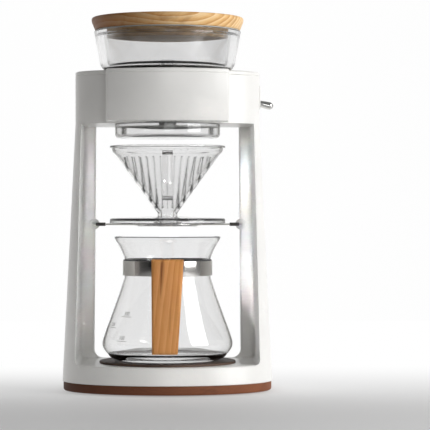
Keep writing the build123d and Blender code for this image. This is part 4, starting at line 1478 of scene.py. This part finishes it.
@dataclass(frozen=True)
class Lamp:
    """A rectangular soft lamp. Metres, watts and degrees."""

    name: str
    place: Point
    target: Point
    size: Spot
    power: float
    spread: float = 180.0         # width of the beam, which a grid on the lamp narrows

    def hang(self) -> None:
        """Add the lamp to the scene."""
        data = bpy.data.lights.new(self.name, "AREA")
        data.shape = "RECTANGLE"
        data.size, data.size_y = self.size
        data.energy = self.power
        data.spread = radians(self.spread)
        lamp = bpy.data.objects.new(self.name, data)
        bpy.context.scene.collection.objects.link(lamp)
        lamp.location = self.place
        lamp.rotation_euler = (Vector(self.target) - Vector(self.place)).to_track_quat("-Z", "Y").to_euler()


@dataclass
class Studio:
    """Pale floor, soft studio light and the camera. Metres and degrees."""

    distance: float = 2.075
    eye: float = 0.1805
    lens: float = 173.7
    yaw: float = 1.31
    pitch: float = -0.14
    sensor: float = 36.0
    floor_half: float = 1.3
    fade: Spot = (-0.3, 0.35)     # from the floor's own grey in front to a painted glow behind
    ceiling: str = "808080"
    bearings: tuple[tuple[float, str], ...] = (
        (-180, "ffffff"), (-128, "f4f4f4"), (-104, "a09c98"), (-80, "8c8886"), (-74, "525150"), (-50, "3a3a3a"),
        (-46, "1c1c1c"), (-32, "242424"), (-20, "686868"), (30, "848484"), (84, "949494"), (95, "807c7a"),
        (110, "a8a8a8"), (128, "f4f4f4"), (180, "ffffff"))
    lamps: tuple[Lamp, ...] = (
        Lamp("key_right", (1.5, -0.85, 0.75), (0.0, 0.0, 0.18), (1.1, 1.3), 24.0),
        Lamp("fill_front", (0.15, -2.4, 0.5), (0.0, 0.0, 0.18), (0.9, 0.7), 5.0),
        Lamp("bay_left", (-0.55, -1.7, 0.145), (0.088, 0.066, 0.145), (0.03, 0.22), 0.026, spread=3.0),
        Lamp("bay_right", (0.45, -1.7, 0.145), (-0.088, 0.066, 0.145), (0.03, 0.22), 0.009, spread=3.0))

    def make_floor(self) -> None:
        """Plain pale floor that glows white behind the object: a painted glow in place of the light on a lit sweep.
        """
        mesh = bpy.data.meshes.new("floor")
        size = self.floor_half
        mesh.from_pydata([(-size, -size, 0), (size, -size, 0), (size, size, 0), (-size, size, 0)], [],
                         [(0, 1, 2, 3)])
        floor = bpy.data.objects.new("studio_floor", mesh)
        bpy.context.scene.collection.objects.link(floor)
        material = bpy.data.materials.new("floor_painted_glow")
        material.use_nodes = True
        tree = material.node_tree
        place = add_node(tree, "ShaderNodeTexCoord").outputs["Object"]
        axes = add_node(tree, "ShaderNodeSeparateXYZ", {"Vector": place})
        fade = add_node(tree, "ShaderNodeMapRange", {
            "Value": axes.outputs["Y"], "From Min": self.fade[0], "From Max": self.fade[1]},
            interpolation_type="SMOOTHSTEP")
        shader = tree.nodes["Principled BSDF"]
        feed(tree, shader, {"Base Color": linear("e4e4e4"), "Roughness": 0.7})
        # Painted glow: behind the object the floor emits white light of its own instead of being lit.
        shine = add_node(tree, "ShaderNodeEmission", {"Color": linear("ffffff"), "Strength": 1.0})
        blend = add_node(tree, "ShaderNodeMixShader", {0: fade, 1: shader, 2: shine})
        feed(tree, tree.nodes["Material Output"], {"Surface": blend})
        mesh.materials.append(material)

    def make_world(self) -> None:
        """White room behind the object, with dark flags at the front left and a pale ceiling."""
        world = bpy.data.worlds.new("studio_room")
        world.use_nodes = True
        bpy.context.scene.world = world
        tree = world.node_tree
        place = add_node(tree, "ShaderNodeTexCoord").outputs["Generated"]
        axes = add_node(tree, "ShaderNodeSeparateXYZ", {"Vector": place})
        ahead = add_node(tree, "ShaderNodeMath", {0: axes.outputs["Y"], 1: -1.0}, operation="MULTIPLY")
        bearing = add_node(tree, "ShaderNodeMath", {0: axes.outputs["X"], 1: ahead}, operation="ARCTAN2")
        turn = add_node(tree, "ShaderNodeMapRange", {"Value": bearing, "From Min": -pi, "From Max": pi})
        ring = add_node(tree, "ShaderNodeValToRGB", {"Fac": turn})
        set_ramp(ring, [((degrees_right + 180) / 360, shade) for degrees_right, shade in self.bearings])
        lift = add_node(tree, "ShaderNodeMapRange", {
            "Value": axes.outputs["Z"], "From Min": 0.45, "From Max": 0.8})
        sky = add_node(tree, "ShaderNodeMix", {
            0: lift, 6: ring, 7: linear(self.ceiling)}, data_type="RGBA").outputs[2]
        feed(tree, tree.nodes["Background"], {"Color": sky, "Strength": 1.0})

    def make_camera(self) -> None:
        """Camera in front of the object at counter height."""
        data = bpy.data.cameras.new("view")
        data.lens = self.lens
        data.sensor_width = self.sensor
        camera = bpy.data.objects.new("view", data)
        bpy.context.scene.collection.objects.link(camera)
        camera.location = (0.0, -self.distance, self.eye)
        camera.rotation_euler = (radians(90.0 + self.pitch), 0.0, radians(-self.yaw))
        bpy.context.scene.camera = camera

    def build(self) -> None:
        """Build the studio."""
        self.make_floor()
        self.make_world()
        for lamp in self.lamps:
            lamp.hang()
        bpy.context.scene.view_settings.view_transform = "Standard"
        self.make_camera()


def main() -> None:
    """Load the frame, build every sub-assembly and log each piece's face count."""
    logging.basicConfig(level=logging.INFO, format="%(name)s %(message)s")
    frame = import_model()
    dress_carried(frame["nodes"])
    for assembly in (Stand(), Tank(), Tap(), ShowerHead(), Rack(), Dripper(), Carafe(), Studio()):
        assembly.build()


if __name__ == "__main__":
    main()
